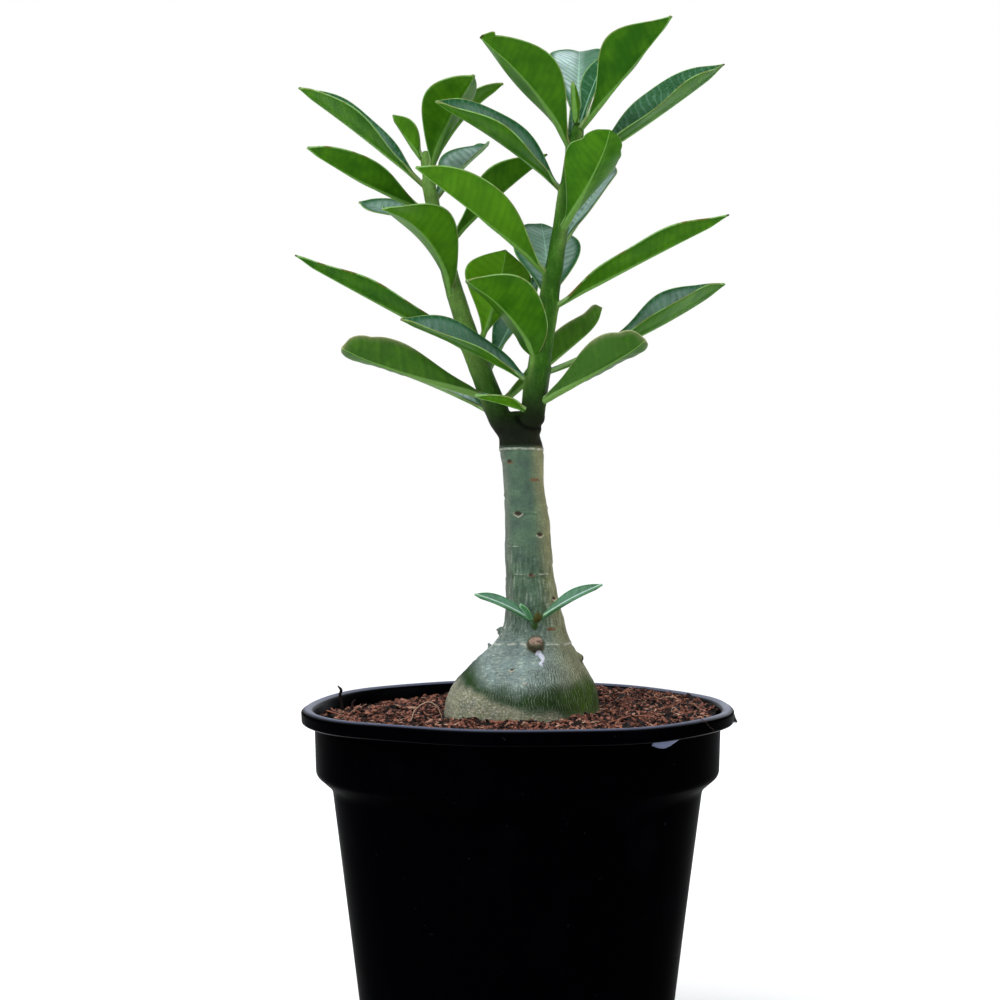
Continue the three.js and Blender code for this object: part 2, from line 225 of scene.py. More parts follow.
def amount(
    *parts: bpy.types.Node | bpy.types.NodeSocket | tuple | float
) -> bpy.types.Node | bpy.types.NodeSocket:
    """Adds a factor that is the product of its parts.

    Args:
        *parts: Nodes, sockets and numbers, and rows that ease: the value that is followed, where the row
            leaves 0, where it reaches its most, and the most, which is 1 if it isn't given.

    Returns:
        What gives the product.
    """
    first = parts[0][0] if isinstance(parts[0], tuple) else parts[0]
    product = None
    for part in parts:
        if isinstance(part, tuple):
            value, start, end, most = (*part, 1.0)[:4]
            asked = {"Value": value, "From Min": start, "From Max": end, "To Max": most}
            part = add_node(first.id_data, RANGE, asked, interpolation_type="SMOOTHSTEP")
        if product is None:
            product = part
        else:
            product = add_node(first.id_data, MATH, {0: product, 1: part}, operation="MULTIPLY")
    return product


def over(base: str | bpy.types.Node, *layers: tuple) -> bpy.types.Node:
    """Lays colours over each other.

    Args:
        base: The lowest colour, as a hex value or a node.
        *layers: The other colours from the bottom up, each followed by the parts of its amount.

    Returns:
        The node of the uppermost colour.
    """
    for colour, *parts in layers:
        factor = amount(*parts)
        asked = {"Factor": factor, "A": base, "B": colour}
        base = add_node(factor.id_data, MIX, asked, data_type="RGBA")
    return base


def begin_material(
    name: str, **values: float | tuple
) -> tuple[bpy.types.Material, Callable[..., bpy.types.Node], bpy.types.NodeSocket]:
    """Starts a material with one Principled shader.

    Args:
        name: The material's name.
        **values: Uniform shader values, with underscores for the spaces in the sockets' names.

    Returns:
        The material, the function that adds a node to it, and its Object coordinates.
    """
    material = bpy.data.materials.new(name)
    material.use_nodes = True
    shader = material.node_tree.nodes["Principled BSDF"]
    for key, value in values.items():
        shader.inputs[key.replace("_", " ")].default_value = value
    add = partial(add_node, material.node_tree)
    return material, add, add("ShaderNodeTexCoord").outputs["Object"]


def end_material(material: bpy.types.Material, **sources: bpy.types.Node) -> bpy.types.Material:
    """Links what was made to the shader.

    Args:
        material: The material.
        **sources: Node for each of the shader's sockets, with underscores for the spaces in their names.

    Returns:
        The material.
    """
    shader = material.node_tree.nodes["Principled BSDF"]
    for key, source in sources.items():
        material.node_tree.links.new(given(source), shader.inputs[key.replace("_", " ")])
    return material


def quads(*corners: np.ndarray) -> list[list[int]]:
    """Faces from arrays that hold their first to fourth corners."""
    return np.stack(corners, -1).reshape(-1, 4).tolist()


def loft(rings: np.ndarray) -> tuple[np.ndarray, list[list[int]]]:
    """Joins rings of points into a tube, closed at each end by a fan.

    Args:
        rings: Points by ring and by place on the ring, which runs anticlockwise as the rings advance.

    Returns:
        The points and the faces.
    """
    rows, cols = rings.shape[:2]
    here = np.arange(rows * cols).reshape(rows, cols)
    beside = np.roll(here, -1, axis=1)
    faces = quads(here[:-1], beside[:-1], beside[1:], here[1:])
    first, last = rows * cols, rows * cols + 1
    faces += [[first, b, a] for a, b in zip(here[0].tolist(), beside[0].tolist())]
    faces += [[last, a, b] for a, b in zip(here[-1].tolist(), beside[-1].tolist())]
    return np.vstack([rings.reshape(-1, 3), rings[0].mean(0), rings[-1].mean(0)]), faces


def tube(path: np.ndarray, radii: np.ndarray, sides: int) -> np.ndarray:
    """Rings of points round a path.

    Args:
        path: Points of the centre line.
        radii: Radius at each point.
        sides: Points on each ring.

    Returns:
        Points by ring and by place on the ring.
    """
    heading = np.gradient(path, axis=0)
    heading /= np.linalg.norm(heading, axis=1)[:, None]
    spare = np.array([0.0, 1.0, 0.0]) if abs(heading[0][1]) < 0.9 else np.array([1.0, 0.0, 0.0])
    angles = np.linspace(0.0, FULL_TURN, sides, endpoint=False)
    rings = []
    for place, ahead, radius in zip(path, heading, radii):
        across = np.cross(spare, ahead)
        across /= np.linalg.norm(across)
        spare = np.cross(ahead, across)
        rings.append(place + radius * (np.outer(np.cos(angles), across) + np.outer(np.sin(angles), spare)))
    return np.array(rings)


def bend_through(points: list[tuple[float, float, float]], count: int) -> np.ndarray:
    """A smooth path through points.

    Args:
        points: What it passes through.
        count: How many places on it are wanted.

    Returns:
        The places, one row each.
    """
    known = np.array(points, float)
    ends = np.vstack([2 * known[0] - known[1], known, 2 * known[-1] - known[-2]])
    path = []
    for place in np.linspace(0.0, len(known) - 1.000001, count):
        k, t = int(place), place % 1.0
        a, b, c, d = ends[k : k + 4]
        path.append(b + 0.5 * t * (c - a + t * (2 * a - 5 * b + 4 * c - d + t * (3 * (b - c) + d - a))))
    return np.array(path)


class Shell:
    """A mesh in the making: points in millimetres, faces, and named values at the points."""

    def __init__(self) -> None:
        """Starts with nothing in it."""
        self.points: list[np.ndarray] = []
        self.faces: list[list[int]] = []
        self.marks: dict[str, list[np.ndarray]] = {}
        self.count = 0

    def add(self, points: np.ndarray, faces: list[list[int]], **marks: np.ndarray | float) -> Shell:
        """Adds a closed form.

        Args:
            points: Its points.
            faces: Its faces, by place in those points.
            **marks: A value for each point, or one for all.

        Returns:
            This shell.
        """
        for name in set(marks) | set(self.marks):
            earlier = self.marks.setdefault(name, [np.zeros(self.count)])
            earlier.append(np.broadcast_to(marks.get(name, 0.0), len(points)))
        self.faces += [[self.count + corner for corner in face] for face in faces]
        self.points.append(points)
        self.count += len(points)
        return self

    def piece(self, name: str, material: bpy.types.Material, soft: bool = True) -> bpy.types.Object:
        """Makes the object, in metres.

        Args:
            name: The object's name.
            material: Its finish.
            soft: Whether the faces shade into each other.

        Returns:
            The object, linked to the scene.
        """
        mesh = bpy.data.meshes.new(name)
        mesh.from_pydata((np.vstack(self.points) * MM).tolist(), [], self.faces)
        store_marks(mesh, {key: np.concatenate(values) for key, values in self.marks.items()})
        mesh.polygons.foreach_set("use_smooth", [soft] * len(mesh.polygons))
        mesh.materials.append(material)
        return linked(name, mesh)


def store_marks(mesh: bpy.types.Mesh, marks: dict[str, np.ndarray]) -> None:
    """Stores named values at a mesh's points, for its finish to read."""
    for name, values in marks.items():
        mesh.attributes.new(name, "FLOAT", "POINT").data.foreach_set("value", values.astype(np.float32))


def linked(name: str, data: bpy.types.ID) -> bpy.types.Object:
    """Makes an object of a mesh, lamp or camera.

    Args:
        name: The object's name.
        data: What it shows.

    Returns:
        The object, linked to the scene.
    """
    made = bpy.data.objects.new(name, data)
    bpy.context.scene.collection.objects.link(made)
    return made


def settled(piece: bpy.types.Object, name: str) -> bpy.types.Object:
    """Turns a piece with modifiers into a plain mesh.

    Args:
        piece: The piece, which is removed.
        name: The new object's name.

    Returns:
        The new object.
    """
    bpy.context.view_layer.update()
    mesh = bpy.data.meshes.new_from_object(piece.evaluated_get(bpy.context.evaluated_depsgraph_get()))
    made = linked(name, mesh)
    bpy.data.objects.remove(piece)
    return made


def place_piece(piece: bpy.types.Object, slot: Slot, *nodes: str) -> None:
    """Ties a finished piece to the body.

    Args:
        piece: The piece.
        slot: Its material slot; not used.
        *nodes: The solids that it stands for.
    """
    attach(piece, BODY)
    if nodes:
        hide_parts(*nodes)
    solids = ", ".join(nodes) or "nothing"
    LOG.info("%s: %d faces, stands for %s", piece.name, len(piece.data.polygons), solids)


@dataclass(frozen=True)
class MouldedPolypropylene:
    """Black polypropylene, injection moulded in a finely spark-eroded tool.

    The eye gets a deep black, a glossier lip that hands have rubbed, with a painted bluish highlight along
    its top, and thin dust. A torn flap under the lip is pale and bluish: whitened by stress, and a painted
    reflection as well. The tool's grain is about 0.1 mm, too fine to show, so it is drawn at 0.8 mm.
    """

    black: str = "#010102"
    dust: str = "#16161f"
    # Pale bluish of the torn tab: stress whitening, and a painted reflection as well.
    stressed: str = "#5b627a"
    # Painted highlight: the bluish grey laid along the top of the lip.
    crest_highlight: str = "#4d5266"
    sheen: str = "#c9d4f0"
    grain: float = 0.8
    speck: float = 2.2
    cloud: float = 24.0
    wall_gloss: float = 0.0006
    lip_gloss: float = 0.16

    def make(self) -> bpy.types.Material:
        """Makes the material. The mark "lip" is the rubbed, glossier part, and along its top it carries a
        painted bluish highlight; the other mark is what has bent and turned pale, and it is a painted bluish
        reflection as well.

        Returns:
            The material.
        """
        material, add, place = begin_material(
            "moulded_black_polypropylene", IOR=1.49, Specular_Tint=linear(self.sheen)
        )
        lip, whitened_and_sheen_mask = (add(MARK, attribute_name=name).outputs["Fac"] for name in ("lip", "stressed"))
        grain = add(NOISE, {"Vector": place, "Scale": per_mm(self.grain), "Detail": 3.0})
        cloud = add(NOISE, {"Vector": place, "Scale": per_mm(self.cloud), "Detail": 6.0})
        speck = add(NOISE, {"Vector": place, "Scale": per_mm(self.speck), "Detail": 1.0})
        dusty = add(RANGE, {"Value": cloud, "From Min": 0.55, "From Max": 0.85, "To Max": 0.12})
        specks = add(RANGE, {"Value": speck, "From Min": 0.77, "From Max": 0.8, "To Max": 0.5})
        dusted = add(MATH, {0: dusty, 1: specks}, operation="MAXIMUM")
        colour = over(
            self.black,
            (self.dust, dusted),
            # Painted highlight along the top of the lip.
            (self.crest_highlight, (lip, 0.35, 0.9, 0.9)),
            # The torn tab: stress whitening and a painted bluish reflection.
            (self.stressed, whitened_and_sheen_mask),
        )
        shine = add(RANGE, {"Value": lip, "To Min": self.wall_gloss, "To Max": self.lip_gloss})
        gloss = add(RANGE, {"Value": cloud, "From Min": 0.3, "From Max": 0.7, "To Min": 0.26, "To Max": 0.36})
        bump = add(BUMP, {"Height": grain, "Strength": 0.1, "Distance": 0.04 * MM})
        return end_material(
            material, Base_Color=colour, Specular_IOR_Level=shine, Roughness=gloss, Normal=bump
        )


@dataclass(frozen=True)
class CoirHusk:
    """Chopped coconut husk, rough-cut and moist.

    The eye gets matt chips from near black to tan, streaked along their fibres, no two the same, over a
    packed mix that is near black, a painted shadow in the gaps between the chips. A fibre is about 0.2 mm
    thick, too fine to show, so it is drawn at 0.45 mm.
    """

    # Near black: the darkest husk on the chips, and on the packed mix a painted shadow in the gaps between
    # them.
    damp_and_gap_shade: str = "#0c0605"
    brown: str = "#40231a"
    russet: str = "#8c5948"
    tan: str = "#c0a48c"
    mottle: float = 1.4
    fibre: float = 0.45

    def make(self) -> bpy.types.Material:
        """Makes the material. The mark "shade" picks the tone of each chip.

        Returns:
            The material.
        """
        material, add, place = begin_material(
            "chopped_coir_husk", IOR=1.45, Roughness=0.8, Specular_IOR_Level=0.25
        )
        shade = add(MARK, attribute_name="shade").outputs["Fac"]
        mottle = add(NOISE, {"Vector": place, "Scale": per_mm(self.mottle), "Detail": 4.0})
        shift = add(MATH, {0: mottle, 1: 0.8, 2: -0.4}, operation="MULTIPLY_ADD")
        tone = add(MATH, {0: shade, 1: shift}, operation="ADD")
        # The lowest tone is the darkest husk, and on the packed mix a painted shadow between the chips.
        colour = self.damp_and_gap_shade
        for low, high, tint in ((0.16, 0.42, self.brown), (0.44, 0.8, self.russet), (0.92, 1.12, self.tan)):
            colour = over(colour, (tint, add(RANGE, {"Value": tone, "From Min": low, "From Max": high})))
        fibre = add(NOISE, {"Vector": place, "Scale": per_mm(self.fibre), "Detail": 2.0})
        bump = add(BUMP, {"Height": fibre, "Strength": 0.5, "Distance": 0.2 * MM})
        return end_material(material, Base_Color=colour, Normal=bump)


@dataclass(frozen=True)
class YoungBark:
    """Living bark of a succulent stem, grown: thin cork over green tissue, tight and finely wrinkled.

    The eye gets a grey-green skin with a waxy bloom, pale rings and leaf scars, a mossy green band where the
    wrinkles open, a smooth speckled foot and fresh green stems above it, with painted shade at the fork and
    the stems' feet and a painted shadow in the groove under the right stem's collar.
    """

    trunk: str = "#4a6253"
    fresh: str = "#5e7a4c"
    left_flank: str = "#6c7468"
    right_flank: str = "#8a875f"
    bloom: str = "#7b8c89"
    band: str = "#1a3605"
    band_light: str = "#4a6414"
    foot: str = "#918f7b"
    speckle: str = "#d0cdbe"
    moss: str = "#5c6c40"
    stem: str = "#2d5c0d"
    stem_light: str = "#74994a"
    # Painted shade at the fork and the feet of the stems.
    fork: str = "#12160b"
    # Painted shadow in the groove under the right stem's collar.
    shaded_crease: str = "#080a05"
    pale: str = "#b7c1b2"
    ring: str = "#c4c6b8"
    groove: str = "#2f4226"
    lip: str = "#c3b7a2"
    pit: str = "#2c1a12"
    rust: str = "#674630"
    skin: str = "#4b4a34"
    cut: str = "#917b6b"
    wrinkle: float = 1.1
    comb: float = 1.1
    cloud: float = 6.0
    speck: float = 0.8
    patch: float = 1.3
    pepper: float = 0.9
    crack: float = 1.5
    girth: float = 28.0

    def make(self) -> bpy.types.Material:
        """Makes the material. Marks in millimetres are distances from rings, pits, lips and rust spots.

        Returns:
            The material.
        """
        material, add, place = begin_material("grown_grey_green_bark", IOR=1.45)
        axes = add("ShaderNodeSeparateXYZ", {"Vector": place}).outputs
        names = (
            "flank", "band", "foot", "comb", "ridge", "ring_mm", "pit_mm", "lip_mm", "rust_mm", "cut", "stub",
            "shaded_crease",
        )
        mark = {name: add(MARK, attribute_name=name).outputs["Fac"] for name in names}
        upright = add(STRETCH, {"Vector": place, "Scale": (1.0, 1.0, 0.16)})
        level = add(STRETCH, {"Vector": place, "Scale": (0.6, 0.6, 1.8)})
        streak = add(NOISE, {"Vector": upright, "Scale": per_mm(self.wrinkle), "Detail": 3.0})
        cloud = add(NOISE, {"Vector": place, "Scale": per_mm(self.cloud), "Detail": 5.0})
        speck = add(NOISE, {"Vector": place, "Scale": per_mm(self.speck), "Detail": 3.0})
        patch = add(NOISE, {"Vector": level, "Scale": per_mm(self.patch), "Detail": 4.0})
        pepper = add(NOISE, {"Vector": place, "Scale": per_mm(self.pepper), "Detail": 4.0})
        crack = add(CELLS, {"Vector": level, "Scale": per_mm(self.crack)}, feature="DISTANCE_TO_EDGE")
        turn = add(MATH, {0: axes["Y"], 1: axes["X"]}, operation="ARCTAN2")
        waver = add(MATH, {0: cloud, 1: 5.0}, operation="MULTIPLY")
        run = add(MATH, {0: turn, 1: self.girth, 2: waver}, operation="MULTIPLY_ADD")
        groove = self.comb / 2.0
        comb = add(MATH, {0: run, 1: groove}, operation="PINGPONG")
        held = add(RANGE, {"Value": streak, "From Min": 0.36, "From Max": 0.56})
        combed = amount(held, mark["comb"])

        height = axes["Z"]
        green = amount((height, 0.267, 0.277))
        lined = amount((height, 0.226, 0.212), (height, 0.179, 0.19))
        # Painted shade: the top of the trunk and the feet of the stems are darkened, reaching higher up the
        # right stem.
        leant = add(MATH, {0: axes["X"], 1: -0.2, 2: height}, operation="MULTIPLY_ADD")
        fork = amount((height, 0.2613, 0.2643), (leant, 0.3, 0.271, 0.96))
        pale_stem = amount((axes["X"], -0.006, -0.02, 0.6), (height, 0.28, 0.3))
        trunk = over(
            self.trunk,
            (self.fresh, (cloud, 0.35, 0.7), 0.22),
            (self.left_flank, (mark["flank"], -0.62, -0.98, 0.8)),
            (self.bloom, (height, 0.195, 0.175, 0.94)),
            (self.pale, (patch, 0.5, 0.66, 0.5), (height, 0.195, 0.175)),
            (self.groove, (pepper, 0.46, 0.34, 0.35), (height, 0.2, 0.18)),
            (self.right_flank, (mark["flank"], 0.2, 1.1, 0.9)),
            (self.pale, (streak, 0.54, 0.68), lined, 0.28),
            (self.groove, (streak, 0.48, 0.36), lined, 0.6),
            (self.foot, mark["foot"], (cloud, 0.2, 0.45)),
            (self.moss, mark["foot"], (pepper, 0.48, 0.62, 0.6)),
            (self.speckle, mark["foot"], (pepper, 0.46, 0.34, 0.5)),
            (self.band, mark["band"], (cloud, 0.0, 0.4, 0.98)),
            (self.band_light, mark["band"], (mark["flank"], 0.35, 0.9, 0.6)),
            (self.pale, combed, (comb, 0.5 * groove, groove, 0.26)),
            (self.groove, combed, (comb, 0.5 * groove, 0.0, 0.95)),
            (self.groove, (crack, 0.09, 0.0, 0.3)),
        )
        streaked = add(MATH, {0: amount((streak, 0.5, 0.66, 0.15)), 1: pale_stem}, operation="ADD")
        light = add(MATH, {0: amount(mark["ridge"], 0.7), 1: streaked}, operation="MAXIMUM")
        colour = over(
            trunk,
            (over(self.stem, (self.stem_light, light)), green),
            (self.fork, fork),
            # Painted shadow in the groove under the right stem's collar.
            (self.shaded_crease, mark["shaded_crease"]),
            (self.rust, (mark["rust_mm"], 0.9, 0.0, 0.9), (speck, 0.22, 0.46)),
            (self.ring, (mark["ring_mm"], 0.65, 0.15, 0.7)),
            (self.lip, (mark["lip_mm"], 0.55, 0.1, 0.7)),
            (self.pit, (mark["pit_mm"], 0.45, 0.0, 0.92)),
            (self.skin, mark["stub"]),
            (self.cut, mark["cut"]),
            (self.pit, mark["cut"], (patch, 0.52, 0.6, 0.85)),
        )
        middle = {"From Min": 0.3, "From Max": 0.7}
        mottle = add(RANGE, {"Value": cloud, **middle, "To Min": 0.76, "To Max": 1.18})
        fleck = add(RANGE, {"Value": speck, **middle, "To Min": 0.82, "To Max": 1.16})
        colour = add(BRIGHTNESS, {"Color": colour, "Value": amount(mottle, fleck)})
        ripple = add(MATH, {0: amount(comb, combed), 1: 2.0, 2: streak}, operation="MULTIPLY_ADD")
        relief = add(MATH, {0: ripple, 1: amount(speck, 0.7)}, operation="ADD")
        split = add(MATH, {0: amount((crack, 0.0, 0.12, 0.3)), 1: relief}, operation="ADD")
        bump = add(BUMP, {"Height": split, "Strength": 0.8, "Distance": 0.35 * MM})
        gloss = add(RANGE, {"Value": green, "To Min": 0.6, "To Max": 0.5})
        dull = fork
        for duller in (amount(green, 0.6), amount(mark["band"], 0.8)):
            dull = add(MATH, {0: dull, 1: duller}, operation="MAXIMUM")
        shine = add(RANGE, {"Value": dull, "To Min": 0.25, "To Max": 0.04})
        return end_material(
            material, Base_Color=colour, Specular_IOR_Level=shine, Roughness=gloss, Normal=bump
        )


@dataclass(frozen=True)
class WaxyLeaf:
    """A desert rose leaf, grown: thick, leathery, with a waxy cuticle.

    The eye gets a dark blue-green upper face with a soft gloss and painted pale patches of sky reflection, a
    brighter yellow-green underside that light comes through, with painted shade towards its margin and its
    foot, a pale midrib, faint slanting veins with painted light and shade across the quilting between them, a
    thin cream margin that browns in places and is partly a painted rim highlight, and a dry brown point.
    """

    name: str = "grown_waxy_leaf"
    upper: str = "#144a20"
    upper_light: str = "#2b693c"
    upper_vein: str = "#74a78a"
    under: str = "#265a05"
    under_light: str = "#538a12"
    under_vein_and_shade: str = "#1c4a08"
    midrib: str = "#7fae58"
    upper_rib: str = "#9cc9ad"
    margin: str = "#9dc27c"
    rusty: str = "#7d4526"
    tip: str = "#2e1a10"
    dry: str = "#a89c80"
    # The next colour is a painted sky reflection; bloom sets the size of its patches.
    wax: str = "#cbe3e3"
    cloud: float = 8.0
    bloom: float = 14.0
    net: float = 2.1
    fleck: float = 1.3
    vein_gap: float = 3.4
    vein_slant: float = 0.55

    def make(self) -> bpy.types.Material:
        """Makes the material. Marks are the distances along and across the blade, and from its margin.

        Returns:
            The material.
        """
        material, add, place = begin_material(
            self.name, IOR=1.45, Subsurface_Weight=0.3, Subsurface_Radius=(0.55, 1.0, 0.2),
            Subsurface_Scale=1.2 * MM,
        )
        names = (
            "along_mm", "across_mm", "edge_mm", "share", "face", "tint", "dry", "rib_mm", "rusty", "spike",
            "wax",
        )
        mark = {name: add(MARK, attribute_name=name).outputs["Fac"] for name in names}

        wide = add(MATH, {0: mark["across_mm"]}, operation="ABSOLUTE")
        cloud = add(NOISE, {"Vector": place, "Scale": per_mm(self.cloud), "Detail": 4.0})
        broad = add(NOISE, {"Vector": place, "Scale": per_mm(self.bloom), "Detail": 2.0})
        fine = add(NOISE, {"Vector": place, "Scale": per_mm(self.fleck), "Detail": 1.0})
        net = add(CELLS, {"Vector": place, "Scale": per_mm(self.net)}, feature="DISTANCE_TO_EDGE")
        slant = add(MATH, {0: wide, 1: -self.vein_slant, 2: mark["along_mm"]}, operation="MULTIPLY_ADD")
        waver = add(MATH, {0: cloud, 1: 6.0, 2: slant}, operation="MULTIPLY_ADD")
        veins = add(MATH, {0: waver, 1: self.vein_gap / 2.0}, operation="PINGPONG")
        vein = amount((veins, 0.8, 0.1), (cloud, 0.3, 0.55))
        tinted = add(MATH, {0: cloud, 1: mark["tint"]}, operation="ADD")
        tone = add(RANGE, {"Value": tinted, "From Min": 0.12, "From Max": 0.9})
        under = over(
            self.under,
            (self.under_light, tone),
            (self.under_vein_and_shade, vein, 0.12),
            (self.under_vein_and_shade, (fine, 0.55, 0.75, 0.1)),
            # Painted shade: darker towards the margin and towards the leaf's foot.
            (self.under_vein_and_shade, (mark["edge_mm"], 3.0, 0.6, 0.2)),
            (self.under_vein_and_shade, (mark["share"], 0.34, 0.04, 0.45)),
        )
        # Painted sky reflection: pale patches between the veins of the upper face, more on some leaves.
        spread = add(RANGE, {"Value": broad, "From Min": 0.3, "From Max": 0.62, "To Min": 0.4})
        between = add(RANGE, {"Value": veins, "From Max": 1.2, "To Min": 0.45})
        painted_sheen_mask = amount(spread, mark["wax"], (mark["edge_mm"], 0.6, 3.5), (mark["share"], 0.97, 0.8), between)
        upper = over(
            self.upper,
            (self.upper_light, tone),
            (self.upper_vein, (net, 0.1, 0.0, 0.12)),
            (self.upper_vein, vein, 0.24),
            (self.wax, painted_sheen_mask),
        )
        rib = add(MATH, {0: wide, 1: mark["rib_mm"]}, operation="DIVIDE")
        # The pale margin is partly a painted rim highlight; its rusty brown is its own colour.
        rim = over(self.margin, (self.rusty, (cloud, 0.46, 0.56), mark["rusty"]))
        colour = over(
            under,
            (upper, mark["face"]),
            (over(self.midrib, (self.upper_rib, mark["face"])), (rib, 1.2, 0.5, 0.6)),
            (rim, (mark["edge_mm"], 0.55, 0.15, 0.6)),
            (self.dry, mark["dry"], (fine, 0.1, 0.5)),
            (self.tip, (mark["share"], 0.984, 0.994), mark["spike"]),
        )
        blotched = {"Value": cloud, "From Min": 0.35, "From Max": 0.65, "To Min": 0.5, "To Max": 0.27}
        blotch = add(RANGE, blotched)
        gloss = add(MIX, {"Factor": mark["face"], "A": 0.44, "B": blotch})
        shine = add(MATH, {0: amount(painted_sheen_mask, mark["face"]), 1: 0.22, 2: 0.08}, operation="MULTIPLY_ADD")
        relief = add(MATH, {0: vein, 1: -3.0, 2: amount(fine, mark["face"])}, operation="MULTIPLY_ADD")
        bump = add(BUMP, {"Height": relief, "Strength": 0.35, "Distance": 0.025 * MM})
        # Painted light and shade of the quilting: lighter between the veins, darker along them.
        raised = add(RANGE, {"Value": veins, "From Max": self.vein_gap / 2.0, "To Min": 0.96, "To Max": 1.03})
        colour = add(BRIGHTNESS, {"Color": colour, "Value": raised})
        return end_material(
            material, Base_Color=colour, Roughness=gloss, Specular_IOR_Level=shine, Normal=bump
        )


@dataclass(frozen=True)
class DriedLatex:
    """The plant's milky sap, dried in a run below the cut: smooth, white and slightly glossy."""

    white: str = "#e6e6ee"
    lilac: str = "#b9b6c9"
    cloud: float = 1.5

    def make(self) -> bpy.types.Material:
        """Makes the material.

        Returns:
            The material.
        """
        material, add, place = begin_material(
            "dried_latex_run", IOR=1.42, Roughness=0.3, Subsurface_Weight=0.1
        )
        cloud = add(NOISE, {"Vector": place, "Scale": per_mm(self.cloud), "Detail": 3.0})
        bump = add(BUMP, {"Height": cloud, "Strength": 0.3, "Distance": 0.15 * MM})
        return end_material(material, Base_Color=over(self.white, (self.lilac, cloud)), Normal=bump)


@dataclass(frozen=True)
class PaintedFloor:
    """A studio floor, rolled with matt white paint: pale, even and without gloss."""

    white: str = "#fcfcfb"
    grey: str = "#f8f8f7"
    cloud: float = 160.0

    def make(self) -> bpy.types.Material:
        """Makes the material.

        Returns:
            The material.
        """
        material, add, place = begin_material(
            "rolled_white_floor_paint", Roughness=1.0, Specular_IOR_Level=0.0
        )
        cloud = add(NOISE, {"Vector": place, "Scale": per_mm(self.cloud), "Detail": 2.0})
        return end_material(material, Base_Color=over(self.white, (self.grey, cloud)))


def rounded(corners: tuple[tuple[float, float, float], ...], longest: float) -> np.ndarray:
    """Rounds a profile's corners and shortens its long runs.

    Args:
        corners: Distance from the axis, height and rounding of each corner.
        longest: The longest run left between two points.

    Returns:
        Points of the profile, as distance from the axis and height.
    """
    spots = [np.array(c[:2]) for c in corners]
    line = [spots[0]]
    for k in range(1, len(corners) - 1):
        back, ahead = spots[k - 1] - spots[k], spots[k + 1] - spots[k]
        shorter = min(np.linalg.norm(back), np.linalg.norm(ahead))
        back, ahead = back / np.linalg.norm(back), ahead / np.linalg.norm(ahead)
        half = math.acos(float(np.clip(back @ ahead, -0.9999, 0.9999))) / 2.0
        reach = min(corners[k][2] / math.tan(half), 0.48 * shorter)
        middle = spots[k] + (back + ahead) / np.linalg.norm(back + ahead) * reach / math.cos(half)
        start, end = spots[k] + back * reach - middle, spots[k] + ahead * reach - middle
        first = math.atan2(start[1], start[0])
        swing = math.atan2(start[0] * end[1] - start[1] * end[0], float(start @ end))
        size = np.linalg.norm(start)
        for angle in [first + swing * t for t in np.linspace(0.0, 1.0, 7)]:
            line.append(middle + size * np.array([math.cos(angle), math.sin(angle)]))
    line.append(spots[-1])
    full = [line[0]]
    for a, b in zip(line, line[1:]):
        run = float(np.linalg.norm(b - a))
        stops = max(1, math.ceil(run / longest))
        shares = list(np.linspace(0.0, 1.0, stops + 1)[1:])
        if run > 2.0:
            shares = sorted({*shares, 0.4 / run, 1.0 - 0.4 / run})
        full += [a + (b - a) * t for t in shares]
    return np.array(full)


